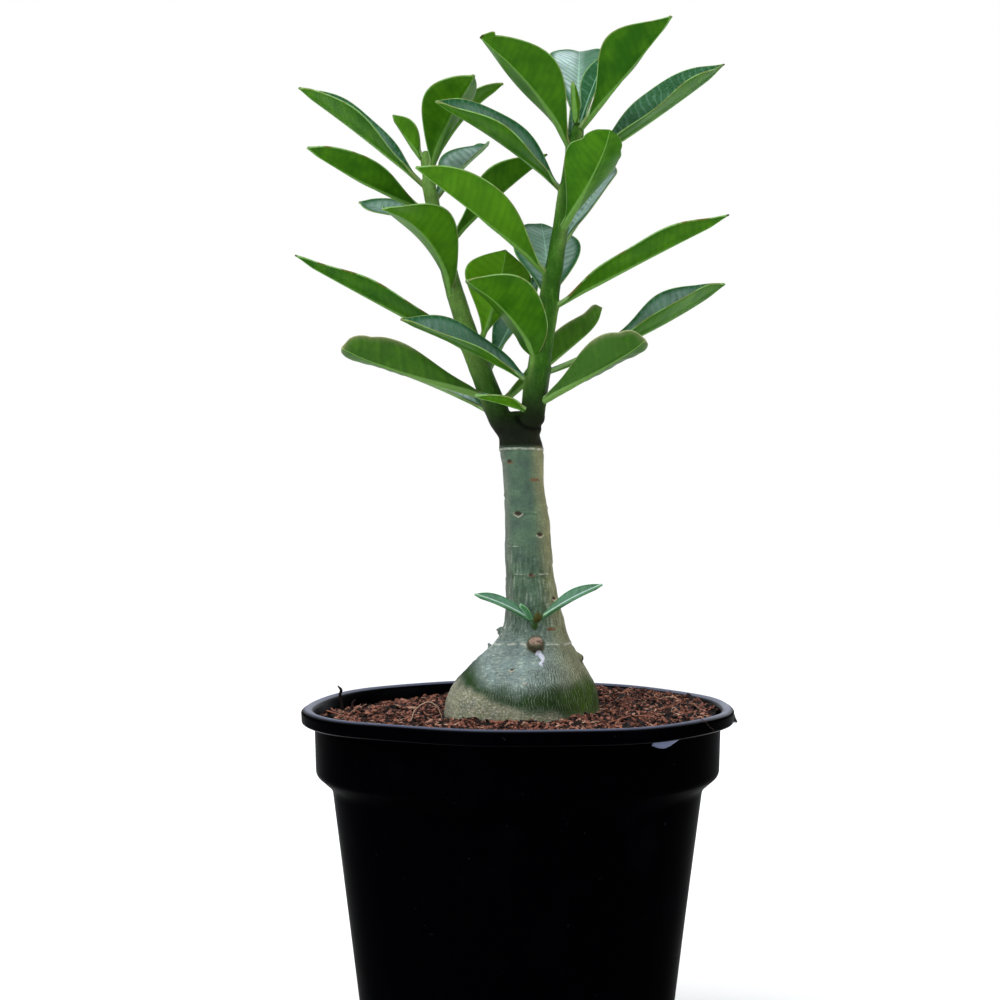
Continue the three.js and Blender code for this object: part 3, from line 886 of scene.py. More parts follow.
@dataclass
class NurseryPot:
    """A thin round growing pot with a stepped shoulder and a rolled lip, a little knocked about."""

    finish: bpy.types.Material
    height: float = 155.0
    foot: float = 61.7
    shoulder: float = 77.0
    shoulder_height: float = 121.7
    band: float = 83.8
    lip: float = 90.0
    lip_foot: float = 149.0
    wall: float = 2.0
    floor: float = 2.5
    sides: int = 288
    drain_radius: float = 4.5
    drain_circle: float = 47.0
    drains: int = 8
    back_rise: float = 2.1
    burr_turn: float = -3.0
    burr_size: float = 2.0
    burr_drop: float = 0.9
    tab_turn: float = -50.0
    tab_width: float = 15.5
    tab_drop: float = 3.0

    def profile(self) -> np.ndarray:
        """Draws the wall's outline, from the middle of the underside out, up, over the lip and down inside.

        Returns:
            Points, as distance from the axis and height.
        """
        corners = (
            (0.6, 0.0, 0.0),
            (self.foot, 0.0, 1.5),
            (self.shoulder, self.shoulder_height, 6.0),
            (self.band, 127.6, 4.0),
            (84.4, self.lip_foot, 0.6),
            (89.7, self.lip_foot - 0.1, 0.8),
            (self.lip, 153.7, 1.3),
            (87.6, self.height + 0.25, 1.0),
            (84.8, 154.0, 2.4),
            (82.4, 147.8, 4.0),
            (self.band - self.wall, 128.6, 4.0),
            (self.shoulder - self.wall, 122.7, 5.0),
            (self.foot - self.wall, self.floor, 2.0),
            (0.6, self.floor, 0.0),
        )
        return rounded(corners, 9.0)

    def body(self) -> Shell:
        """Turns the wall, out of round by a hair, with the burr that a knock left on the lip.

        Returns:
            The wall, with its polished places marked.
        """
        line = self.profile()
        turns = round_turns(self.sides)
        rings = np.zeros((len(line), self.sides, 3))
        for row, (radius, height) in enumerate(line):
            high = float(smooth((height - 60.0) / 90.0))
            off = 0.35 * high * np.cos(2.0 * turns + 0.7) + 0.18 * high * np.cos(5.0 * turns)
            waver = 0.3 * np.sin(3.0 * turns + 1.1) + 0.15 * np.sin(8.0 * turns)
            lift = high * (waver + self.back_rise * np.sin(turns).clip(0.0) ** 1.3)
            around = np.degrees(np.abs(angle_from(math.radians(self.burr_turn), turns)))
            # The burr swells and droops the lip's lower edge.
            rim = float(radius > 86.0) * float(swell(height - self.lip_foot, 2.6))
            off = off * float(radius > 5.0) + self.burr_size * rim * swell(around, 5.0)
            low = self.burr_drop * rim * swell(around, 4.0) * float(height < 151.0)
            rings[row] = circled(radius + off, turns, height + lift * (radius > 5.0) - low)
        radius, height = line.T
        # The top of the lip is marked for gloss and for a painted bluish highlight; the lip's foot and inside
        # get gloss alone.
        crest_highlight = smooth((height - self.height + 1.0) / 0.6)
        edge = 0.35 * swell(height - self.lip_foot, 0.5) * (radius > 88.0)
        inside = 0.1 * smooth((height - 149.0) / 3.0) * (radius < 86.0)
        gloss_and_painted_highlight = np.repeat(np.maximum(crest_highlight, np.maximum(edge, inside)), self.sides)
        return Shell().add(*loft(rings), lip=np.append(gloss_and_painted_highlight, (0.0, 0.0)), stressed=0.0)

    def torn_tab(self) -> tuple[np.ndarray, list[list[int]]]:
        """Makes a thin flap of flash that hangs from the foot of the lip, bent a little outwards.

        Returns:
            Its points and faces.
        """
        spread = np.linspace(-1.0, 1.0, 25)
        turn = math.radians(self.tab_turn) + spread * self.tab_width / 176.0
        drop = 0.15 + self.tab_drop * swell(spread + 0.2 * (1.0 - spread), 1.05) ** 0.8
        rings = []
        for share in np.linspace(0.0, 1.0, 8):
            out = 88.9 + 0.55 * math.sin(math.pi * share) - 0.5 * share
            height = self.lip_foot + 0.5 - share * (drop + 0.5)
            near, far = (circled(out + side, turn, height) for side in (0.25, -0.25))
            rings.append(np.vstack([near[::-1], far]))
        return loft(np.array(rings))

    def drill(self) -> bpy.types.Object:
        """Makes the cutter for the drain holes.

        Returns:
            The cutter, one piece for all the holes.
        """
        shell = Shell()
        for number in range(self.drains):
            turn = (number + 0.5) * FULL_TURN / self.drains
            x, y = self.drain_circle * math.cos(turn), self.drain_circle * math.sin(turn)
            path = np.array([[x, y, -4.0], [x, y, 1.0], [x, y, 7.0]])
            shell.add(*loft(tube(path, np.full(3, self.drain_radius), 28)))
        return shell.piece("drain_cutter", self.finish)

    def build(self) -> None:
        """Makes the pot and puts it in the solid's place."""
        piece = self.body().piece("pot_wall", self.finish)
        cutter = self.drill()
        drilled = piece.modifiers.new("drains", "BOOLEAN")
        drilled.operation = "DIFFERENCE"
        drilled.solver = "EXACT"
        drilled.object = cutter
        pot = settled(piece, "nursery_pot")
        bpy.data.objects.remove(cutter)
        place_piece(pot, Slot.POT, "pot")
        # The tab is painted pale and bluish: whitened by stress, and a painted reflection as well.
        tab = Shell().add(*self.torn_tab(), lip=0.6, stressed=1.0)
        place_piece(tab.piece("lip_torn_tab", self.finish), Slot.POT)


@dataclass
class Trunk:
    """Sizes of the swollen base and the trunk. Each level is a height and the left and right edges there."""

    levels: tuple[tuple[float, float, float], ...] = (
        (96, -3, 5), (104, -9, 12), (120, -18, 22), (138, -27, 31), (151, -30.8, 34.6), (156, -30.2, 34.4),
        (160, -28.9, 33.8), (165, -26.2, 32.2), (170, -21.9, 29.6), (174, -17.6, 26.9), (178, -12.9, 24.4),
        (182, -8.6, 22.4), (186, -6.2, 21), (190, -5, 19.8), (197, -4.7, 18), (208, -4.4, 15.8),
        (222, -5, 14.3), (232, -5, 13.7), (240, -5, 12.2), (248, -5.4, 11.3), (256, -6, 10.9),
        (260, -6.8, 11.3), (264, -7.4, 10.6), (269, -7.4, 9.4), (273, -6.2, 8.2), (276.5, -4.2, 5),
        (278.5, -1.6, 1.8),
    )
    depth: float = 0.95
    lobes: int = 5
    lobe_depth: float = 0.035

    def span(self, height: np.ndarray) -> tuple[np.ndarray, np.ndarray]:
        """Reads the trunk's sizes.

        Args:
            height: Heights on the trunk.

        Returns:
            The trunk's middle, to the right of the axis, and its half width at each height.
        """
        table = np.array(self.levels, float)
        fine = np.arange(table[0, 0], table[-1, 0] + 0.25, 0.5)
        kernel = np.hanning(9) / np.hanning(9).sum()
        sides = []
        for column in (1, 2):
            raw = np.interp(fine, table[:, 0], table[:, column])
            even = np.convolve(np.pad(raw, 4, mode="edge"), kernel, mode="valid")
            sides.append(np.interp(height, fine, even))
        return (sides[0] + sides[1]) / 2.0, (sides[1] - sides[0]) / 2.0

    def outline(self, height: float, turns: np.ndarray, margin: float = 0.0) -> np.ndarray:
        """Makes a ring of points on the trunk.

        Args:
            height: The ring's height.
            turns: The points' turns, in radians.
            margin: How far the ring is moved out.

        Returns:
            The points, one row each.
        """
        middle, half = self.span(np.array([height]))
        fading = self.lobe_depth * float(smooth((196.0 - height) / 40.0))
        dents = fading * (1.0 - np.cos(self.lobes * turns)) * np.abs(np.sin(turns))
        radius = (half[0] + margin) * (1.0 - dents)
        x = middle[0] + radius * np.cos(turns)
        return np.stack([x, self.depth * radius * np.sin(turns), np.full_like(turns, height)], -1)


@dataclass
class Stem:
    """One of the two leafy stems: a curved taper above the fork, a little thinner where it joins."""

    points: tuple[tuple[float, float, float], ...]
    joint: float
    foot: float
    tip: float

    def at(self, share: np.ndarray | float) -> np.ndarray:
        """Finds points on the centre line.

        Args:
            share: Shares of its length.

        Returns:
            The points, one row each.
        """
        t = np.atleast_1d(np.asarray(share, float))[:, None]
        a, b, c, d = (np.array(p, float) for p in self.points)
        return (1 - t) ** 3 * a + 3 * (1 - t) ** 2 * t * b + 3 * (1 - t) * t**2 * c + t**3 * d

    def radius(self, share: np.ndarray | float) -> np.ndarray:
        """Radius at shares of the length."""
        taper = self.foot + (self.tip - self.foot) * np.asarray(share, float)
        return self.joint + (taper - self.joint) * smooth(np.asarray(share, float) / 0.07)

    def share_at(self, height: float) -> float:
        """The share of the length at a height."""
        shares = np.linspace(0.0, 1.0, 400)
        return float(np.interp(height, self.at(shares)[:, 2], shares))


STEMS = {
    Side.RIGHT: Stem(((5.2, -3.5, 266), (10, -4.5, 308), (18, -7, 352), (24.9, -10, 397)), 3.6, 5.4, 2.4),
    Side.LEFT: Stem(((-3.5, 0, 267), (-22.5, 8, 309), (-37.5, 18, 364), (-39.3, 26, 392)), 3.6, 5.2, 2.1),
}


@dataclass
class Blade:
    """One leaf: where it leaves its stem, where its point is, and how it is folded and bent.

    Angles are in degrees. The arch is the bend over the whole length and the curl is what the end adds to it.
    The fold is how far each half stands up and the cup is what its margin adds to it. An end can be rounded
    from a share of the length, and can open by a share of the fold.
    """

    name: str
    tip: tuple[float, float, float]
    width: float
    arch: float
    roll: float
    fold: float
    widest: float
    side: Side | None = None
    height: float = 0.0
    blunt: float = 1.0
    curl: float = 0.0
    cup: float = 0.0
    dry: float = 0.0
    spike: float = 0.25
    # The next two set how much painted sky reflection the upper face gets, and how much more of it one half
    # gets.
    wax: float = 0.15
    wax_side: float = 0.0
    # The next value lightens or darkens the whole leaf: partly its own tone, partly painted light and shade
    # for how lit the leaf stands.
    tint: float = 0.0
    notch: float = 0.0
    round_from: float = 1.0
    opening: float = 0.0
    quilt: float = 0.0
    rusty: float = 0.5
    stalk: float = 1.4
    stalk_thickness: float = 2.2
    thickness: float = 0.9
    steps: int = 52
    cells: int = 10
    groove_depth: float = 0.28
    groove_width: float = 0.8
    rib_height: float = 0.75
    rib_width: float = 0.95
    quilt_pitch: float = 0.62
    foot_at: tuple[float, float, float] | None = None
    heading: float = 0.0
    length: float = 0.0

    def foot(self, turn: float) -> Vector:
        """Finds where the leaf starts, just inside its stem.

        Args:
            turn: The leaf's heading, in radians.

        Returns:
            The place.
        """
        if self.foot_at is not None:
            return Vector(self.foot_at)
        stem = STEMS[self.side]
        share = stem.share_at(self.height)
        reach = 0.55 * float(stem.radius(share))
        return Vector(stem.at(share)[0]) + Vector((reach * math.cos(turn), reach * math.sin(turn), 0.0))

    def frames(
        self, turn: float, rise: float, length: float, steps: int
    ) -> list[tuple[Vector, Vector, Vector]]:
        """Place, side and upper normal at each step from foot to point.

        Args:
            turn: Heading at the foot, in radians.
            rise: Climb at the foot, in radians.
            length: Length of the blade.
            steps: Steps along it.

        Returns:
            A frame for each step, the foot's included.
        """
        level = math.cos(rise)
        along = Vector((math.cos(turn) * level, math.sin(turn) * level, math.sin(rise)))
        side = Vector((-math.sin(turn), math.cos(turn), 0.0))
        side.rotate(Quaternion(along, math.radians(self.roll)))
        place = self.foot(turn)
        curled = [self.curl * float(smooth((k / steps - 0.72) / 0.28)) for k in range(steps + 2)]
        found = []
        for k in range(steps + 1):
            found.append((place.copy(), side.copy(), along.cross(side)))
            bend = self.arch / steps + curled[k + 1] - curled[k]
            turned = Quaternion(side, -math.radians(bend) / 2.0)
            along.rotate(turned)
            place += along * (length / steps)
            along.rotate(turned)
        return found

    def aimed(self) -> list[tuple[Vector, Vector, Vector]]:
        """Turns, tilts and stretches the centre line until it runs from its foot to its point.

        Returns:
            A frame for each step: place, side and upper normal.
        """
        goal = Vector(self.tip)
        first = goal - self.foot(0.0)
        turn, length = math.atan2(first.y, first.x), first.length
        rise = math.atan2(first.z, math.hypot(first.x, first.y)) - math.radians(self.arch) / 2.0
        for _ in range(24):
            foot = self.foot(turn)
            wanted = goal - foot
            got = self.frames(turn, rise, length, 20)[-1][0] - foot
            swing = math.atan2(wanted.y, wanted.x) - math.atan2(got.y, got.x)
            turn += math.atan2(math.sin(swing), math.cos(swing))
            rise += math.atan2(wanted.z, math.hypot(wanted.x, wanted.y))
            rise -= math.atan2(got.z, math.hypot(got.x, got.y))
            length *= wanted.length / got.length
        self.heading = turn
        self.length = length
        return self.frames(turn, rise, length, self.steps)

    def half_width(self, share: float) -> float:
        """Gives half the unfolded width.

        Args:
            share: Share of the length.

        Returns:
            Half the width there.
        """
        turn = math.log(0.5) / math.log(self.widest)
        blade = self.width / 2.0 * max(0.0, math.sin(math.pi * min(1.0, share) ** turn)) ** self.blunt
        if share > self.round_from:
            beyond = (share - self.round_from) / (1.0 - self.round_from)
            blade = self.half_width(self.round_from) * math.sqrt(max(0.0, 1.0 - beyond**2))
        return max(blade, self.stalk * math.sqrt(max(0.0, 1.0 - share)), 0.12)

    def grow(self, seed: int) -> tuple[np.ndarray, list[list[int]], dict[str, np.ndarray]]:
        """Builds the leaf.

        Args:
            seed: Which waver of the margin this leaf has.

        Returns:
            Points, faces and the marks that the finish reads.
        """
        frames = self.aimed()
        cells, cols = self.cells, 2 * self.cells + 1
        upper = np.zeros((self.steps + 1, cols, 3))
        lower = np.zeros_like(upper)
        across, edge, rib = (np.zeros((self.steps + 1, cols)) for _ in range(3))
        phase = 2.1 * seed
        for row, (place, side, normal) in enumerate(frames):
            share = row / self.steps
            even = self.half_width(share)
            fold = math.radians(self.fold) * float(smooth(share / 0.18))
            opened = self.opening * float(smooth((share - 0.68) / 0.26))
            fold *= 1.0 - opened
            cup = math.radians(self.cup) * (1.0 - 0.5 * opened)
            stalky = 1.0 - float(smooth(share / 0.2))
            thick = self.thickness + (self.stalk_thickness - self.thickness) * stalky
            thick *= 1.0 - 0.65 * float(smooth((share - 0.86) / 0.14)) * self.spike
            broad = float(smooth(share / 0.3)) * float(smooth((1.0 - share) / 0.12))
            # Each half runs out from the midrib, which is sunk in the upper face and stands out below.
            for hand in (-1, 1):
                half = even
                if hand > 0:
                    half = max(half, self.notch * float(swell(share - 0.945, 0.075)))
                half *= 1.0 + 0.035 * broad * math.sin(9.0 * share + phase + hand)
                x = y = 0.0
                for j in range(cells + 1):
                    q = j / cells
                    lean = 0.0 if j == 0 else fold + cup * q
                    swing = math.sin(0.16 * share * self.length + phase + 1.9 * hand)
                    puff = math.cos(self.quilt_pitch * (share * self.length - 0.5 * x)) ** 4
                    wave = 0.03 * self.width * broad * q * q * swing
                    wave -= self.quilt * broad * math.sin(math.pi * q) * puff
                    groove = self.groove_depth * broad * math.exp(-((x / self.groove_width) ** 2))
                    top = place + side * (hand * x) + normal * (y + wave - groove)
                    flat = (1.0 - stalky) * (1.0 - 0.6 * q**4) + stalky * math.sqrt(1.0 - 0.9 * q * q)
                    ridge = self.rib_height * (1.0 - 0.7 * share) * math.exp(-((x / self.rib_width) ** 2))
                    ridge *= float(smooth(share / 0.1))
                    depth = thick * flat + groove + ridge * (1.0 - stalky)
                    under = top + side * (hand * depth * math.sin(lean)) - normal * (depth * math.cos(lean))
                    col = cells + hand * j
                    upper[row, col], lower[row, col] = top, under
                    across[row, col] = hand * q * half
                    edge[row, col] = half * (1.0 - q)
                    rib[row, col] = 0.16 + 1.12 * (1.0 - share) ** 1.2 * min(1.0, self.width / 18.0)
                    step = fold + cup * (j + 0.5) / cells
                    x += half / cells * math.cos(step)
                    y += half / cells * math.sin(step)
        return self.closed(upper, lower, across, edge, rib, seed)

    def closed(
        self, upper: np.ndarray, lower: np.ndarray, across: np.ndarray, edge: np.ndarray, rib: np.ndarray,
        seed: int,
    ) -> tuple[np.ndarray, list[list[int]], dict[str, np.ndarray]]:
        """Joins the two faces round the margin and marks them.

        Args:
            upper: Points of the upper face, by row and column.
            lower: Points of the under face.
            across: Distance from the midrib.
            edge: Distance from the margin.
            rib: Half the width of the pale midrib.
            seed: Which tint this leaf has.

        Returns:
            Points, faces and marks.
        """
        rows, cols = upper.shape[:2]
        top = np.arange(rows * cols).reshape(rows, cols)
        low = top + rows * cols
        faces = quads(top[:-1, :-1], top[1:, :-1], top[1:, 1:], top[:-1, 1:])
        faces += quads(low[:-1, :-1], low[:-1, 1:], low[1:, 1:], low[1:, :-1])
        faces += quads(top[:-1, -1], top[1:, -1], low[1:, -1], low[:-1, -1])
        faces += quads(top[1:, 0], top[:-1, 0], low[:-1, 0], low[1:, 0])
        faces += quads(top[0, :-1], top[0, 1:], low[0, 1:], low[0, :-1])
        faces += quads(top[-1, 1:], top[-1, :-1], low[-1, :-1], low[-1, 1:])
        across, edge, rib = across.reshape(-1), edge.reshape(-1), rib.reshape(-1)
        share = np.repeat(np.linspace(0.0, 1.0, rows), cols)
        dry = 0.85 * swell(edge, 1.2) * smooth((share - 0.25) / 0.4)
        # Painted highlight: on quilted leaves a broad pale band along the margin stands for light on the
        # rolled edge.
        dry = np.maximum(dry, 1.4 * self.quilt * swell(edge, 3.4) * smooth((share - 0.4) / 0.3))
        dry = np.maximum(dry, 0.3 * smooth((share - 0.92) / 0.08))
        run = self.length * share - 0.5 * np.abs(across)
        # Painted light and shade of the quilting: the tint is raised on the bulges between the veins.
        bulge = np.sin(np.clip(edge / 4.0, 0.0, 1.0)) * (np.cos(self.quilt_pitch * run) ** 2 - 0.35)
        marks = {
            "share": np.tile(share, 2),
            "along_mm": np.tile(share * self.length, 2),
            "across_mm": np.tile(across, 2),
            "edge_mm": np.tile(edge, 2),
            "rib_mm": np.concatenate([0.7 * rib, 0.8 * rib]),
            "face": np.concatenate([np.ones(rows * cols), np.zeros(rows * cols)]),
            "tint": self.tint + 0.1 * math.sin(5.3 * seed) + np.tile(0.6 * self.quilt * bulge, 2),
            "wax": np.tile(self.wax * (1.0 + self.wax_side * np.clip(across / 3.0, -1.0, 1.0)), 2),
            "dry": self.dry * np.tile(np.maximum(dry, 0.07), 2),
            "rusty": self.rusty,
            "spike": self.spike,
        }
        return np.vstack([upper.reshape(-1, 3), lower.reshape(-1, 3)]), faces, marks


def leaf(
    stem: Side, place: str, height: float, tip: tuple[float, float, float], *form: float, **more: float
) -> Blade:
    """Makes one row of the leaf list, named after its stem and its place on it.

    Args:
        stem: The stem that it grows on.
        place: Its place there.
        height: Height of its foot.
        tip: Where its point is.
        *form: Width, arch, roll, fold and the share of the length at which it is widest.
        **more: What else sets it apart.

    Returns:
        The leaf.
    """
    return Blade(f"leaf_{stem.value}_{place}", tip, *form, stem, height, **more)


LEAVES = (
    leaf(Side.RIGHT, "crown_left", 387, (-15, -34, 427), 27, -45, 27, 29, 0.58, notch=5.0, spike=0.7),
    leaf(Side.RIGHT, "crown_right", 395, (62, -28, 437), 29, 1, -13, 34, 0.62, blunt=1.2, tint=-0.2),
    leaf(
        Side.RIGHT, "crown_back", 391, (28, 42, 439), 26, -55, 9, 14, 0.66, wax=0.52, wax_side=0.7, stalk=3.4
    ),
    leaf(Side.RIGHT, "crown_young", 396.5, (38, 0, 429), 11, -12, 19, 21, 0.6, wax=0.0, stalk=2.6),
    leaf(Side.RIGHT, "crown_bud", 397, (23, -16, 413), 4, -5, 0, 30, 0.5),
    leaf(Side.RIGHT, "upper_right", 379, (89, 18, 428), 26, 6, 12, 34, 0.64, wax=0.0, tint=-0.25, spike=1),
    leaf(
        Side.RIGHT, "upper_front", 354, (36.5, -37, 389), 28, 22, -14, 23, 0.66,
        curl=25, cup=30, spike=0, round_from=0.86, opening=0.6, tint=-0.1,
    ),
    leaf(Side.RIGHT, "upper_back", 347, (43, 30, 386), 22, -5, -5, 20, 0.62, wax=0.6),
    leaf(Side.RIGHT, "upper_left", 370, (-33, -26, 403), 25, -16, -36, 37, 0.56, tint=-0.1),
    leaf(Side.RIGHT, "middle_left", 335, (-41, -28, 376), 28, -11, 17, 31, 0.6, tint=0.1),
    leaf(Side.RIGHT, "middle_back", 324, (11, 41, 363), 29, -32, 6, 8, 0.56, blunt=0.9, wax=0.4),
    leaf(
        Side.RIGHT, "middle_right", 322, (85, -32, 356), 21, -3, 1, 29, 0.58, rusty=0.9, tint=-0.2, spike=0.9
    ),
    leaf(Side.RIGHT, "lower_right", 295, (89, 18, 334), 26, 17, 10, 38, 0.74, wax=0.2, tint=-0.2),
    leaf(
        Side.RIGHT, "foot_right", 282, (51.6, -28, 306.2), 22.5, 7, -36, 32, 0.69, blunt=0.6,
        curl=8, cup=30, dry=0.7, spike=0, round_from=0.87, opening=0.5, tint=-0.38, quilt=0.3,
    ),
    leaf(Side.RIGHT, "lower_front", 301, (-20, -37, 329), 31, -44, 7, 26, 0.5, blunt=0.75, tint=-0.05),
    leaf(Side.RIGHT, "lower_left", 291, (-48, -13, 316), 22, -11, -28, 27, 0.56, wax=0.25, tint=-0.1),
    leaf(Side.RIGHT, "foot_left", 279, (-17, -24, 284), 10, -11, -8, 19, 0.6),
    leaf(Side.LEFT, "upper_left", 377, (-95, 36, 422), 24, -6, -5, 37, 0.62, blunt=1.1, tint=-0.25),
    leaf(Side.LEFT, "middle_left", 365, (-86, -17, 386), 22, 13, 11, 26, 0.64, rusty=0.9, tint=-0.15),
    leaf(Side.LEFT, "middle_back", 360, (-69, 37, 372), 18, 0, -24, 11, 0.6, wax=0.3),
    leaf(Side.LEFT, "middle_front", 327, (-55, -22, 360), 30, -80, -2, 19, 0.6, tint=0.15),
    leaf(Side.LEFT, "crown_front", 383, (-18, -2, 419), 28, -33, 1, 25, 0.62, blunt=1.1),
    leaf(Side.LEFT, "crown_young", 389, (-53, 27, 408), 12, 8, 37, 30, 0.6),
    leaf(Side.LEFT, "crown_right", 385, (-6, 32, 423), 18, -36, -15, 28, 0.62),
    leaf(
        Side.LEFT, "upper_back", 371, (-13, 47, 399), 22, -14, 0, 26, 0.64, blunt=0.8,
        wax=0.6, spike=0, round_from=0.93,
    ),
    leaf(Side.LEFT, "upper_right", 350, (13, 16, 389), 23, -16, -25, 27, 0.6, spike=0.9),
    leaf(Side.LEFT, "lower_front", 304, (-5, -7, 345), 31, 24, -14, 7, 0.74, tint=0.6),
    leaf(Side.LEFT, "lower_back", 295, (10, 28, 340), 21, -3, -3, 11, 0.62, wax=0.15),
    leaf(Side.LEFT, "lower_left", 306, (-93, 1, 344), 20, 1, 3, 29, 0.5, rusty=0.9, tint=-0.3, spike=0.8),
    leaf(
        Side.LEFT, "foot_left", 285, (-71.3, -25, 303.2), 22, 12, 42, 37, 0.68, blunt=0.6,
        curl=6, cup=28, dry=0.7, spike=0, round_from=0.86, opening=0.45, tint=-0.42, quilt=0.3,
    ),
    leaf(Side.LEFT, "foot_back", 279, (-53, 26, 298), 20, -9, -16, 17, 0.6, wax=1.3),
    leaf(
        Side.LEFT, "foot_right", 282, (36, 23, 324), 17, 2, -44, 26, 0.7, blunt=0.5,
        curl=30, cup=30, dry=0.6, spike=0, round_from=0.84, opening=0.6, tint=-0.15, quilt=0.2,
    ),
)


@dataclass
class Foliage:
    """The leaves of both stems, each a piece of its own."""

    finish: bpy.types.Material
    leaves: tuple[Blade, ...] = LEAVES

    def build(self) -> None:
        """Makes each leaf in its solid's place."""
        for number, blade in enumerate(self.leaves):
            points, faces, marks = blade.grow(number + 1)
            name = blade.name.replace("leaf_", "blade_")
            piece = Shell().add(points, faces, **marks).piece(name, self.finish)
            place_piece(piece, Slot.LEAF, blade.name)


@dataclass
class BasalShoot:
    """A young shoot low on the trunk: a short stalk, two open leaves, a young one and a bud."""

    finish: bpy.types.Material
    foot: tuple[float, float, float] = (7.2, -9.5, 188.0)
    top: tuple[float, float, float] = (7.2, -14.5, 191.5)
    radius: float = 1.5
    bud_at: tuple[float, float, float] = (9.2, -16.4, 195.2)

    def blades(self) -> tuple[Blade, ...]:
        """Lists the shoot's leaves.

        Returns:
            The two open leaves and the young one.
        """
        small = dict(stalk=0.9, stalk_thickness=1.4, thickness=0.7, steps=36, cells=7, rusty=0.0)
        start = (self.top[0], self.top[1] - 0.2, self.top[2] - 0.4)
        return (
            Blade("left", (-17.5, -17, 202.6), 6, -26, -45, 24, 0.6, foot_at=start, **small),
            Blade("right", (34.8, -17, 206.6), 6.5, -22, 45, 24, 0.6, foot_at=start, **small),
            Blade("young", (1.4, -15.5, 198.6), 3.6, -10, 0, 20, 0.6, foot_at=start, **small),
        )

    def build(self) -> None:
        """Makes the shoot in its solid's place."""
        shell = Shell()
        for number, blade in enumerate(self.blades()):
            points, faces, marks = blade.grow(number + 3)
            marks["face"] = np.maximum(marks["face"], 0.45)
            marks["edge_mm"] = 4.0 * marks["edge_mm"]
            marks["rib_mm"] = np.maximum(0.6 * marks["rib_mm"], 0.4)
            shell.add(points, faces, **marks)
        foot, top = np.array(self.foot), np.array(self.top)
        plain = dict(share=0.5, edge_mm=5.0, across_mm=3.0, rib_mm=1.0)
        path = bend_through([foot, (foot + top) / 2 + (0, -0.4, -0.5), top, top + (0.4, -0.8, 1.6)], 14)
        girth = np.interp(np.linspace(0, 1, 14), (0, 0.35, 0.8, 1.0), (1.9, 1.35, 1.5, 0.5))
        girth = girth * self.radius / 1.5
        shell.add(*loft(tube(path, girth, 16)), dry=0.6, **plain)
        for lean, size in ((0.0, 1.0), (0.8, 0.8), (-0.5, 0.7)):
            start = top + (0.2, -0.8, -0.6)
            tip = np.array(self.bud_at) + (lean * 2.4 - 0.6, 0.2 * lean, 0.4 - 1.4 * abs(lean))
            path = bend_through([start, (start + tip) / 2 + (0.3, -0.4, 0), tip], 14)
            girth = size * 1.4 * np.sin(np.pi * np.linspace(0.14, 0.98, 14) ** 0.75)
            shell.add(*loft(tube(path, girth, 14)), dry=1.0, **plain)
        place_piece(shell.piece("shoot_leaves_and_bud", self.finish), Slot.LEAF, "basal_shoot")


@dataclass
class Scar:
    """A leaf scar: its turn round the trunk, its height and half width, and what it shows."""

    turn: float
    height: float
    size: float
    rust: bool = False
    pale: bool = True
    pit: bool = True


@dataclass
class Ring:
    """A growth ring: its height, waver, facing, spread round the trunk, how broken and how faint it is."""

    height: float
    waver: float
    facing: float
    spread: float
    gaps: float = 0.8
    faint: float = 0.0


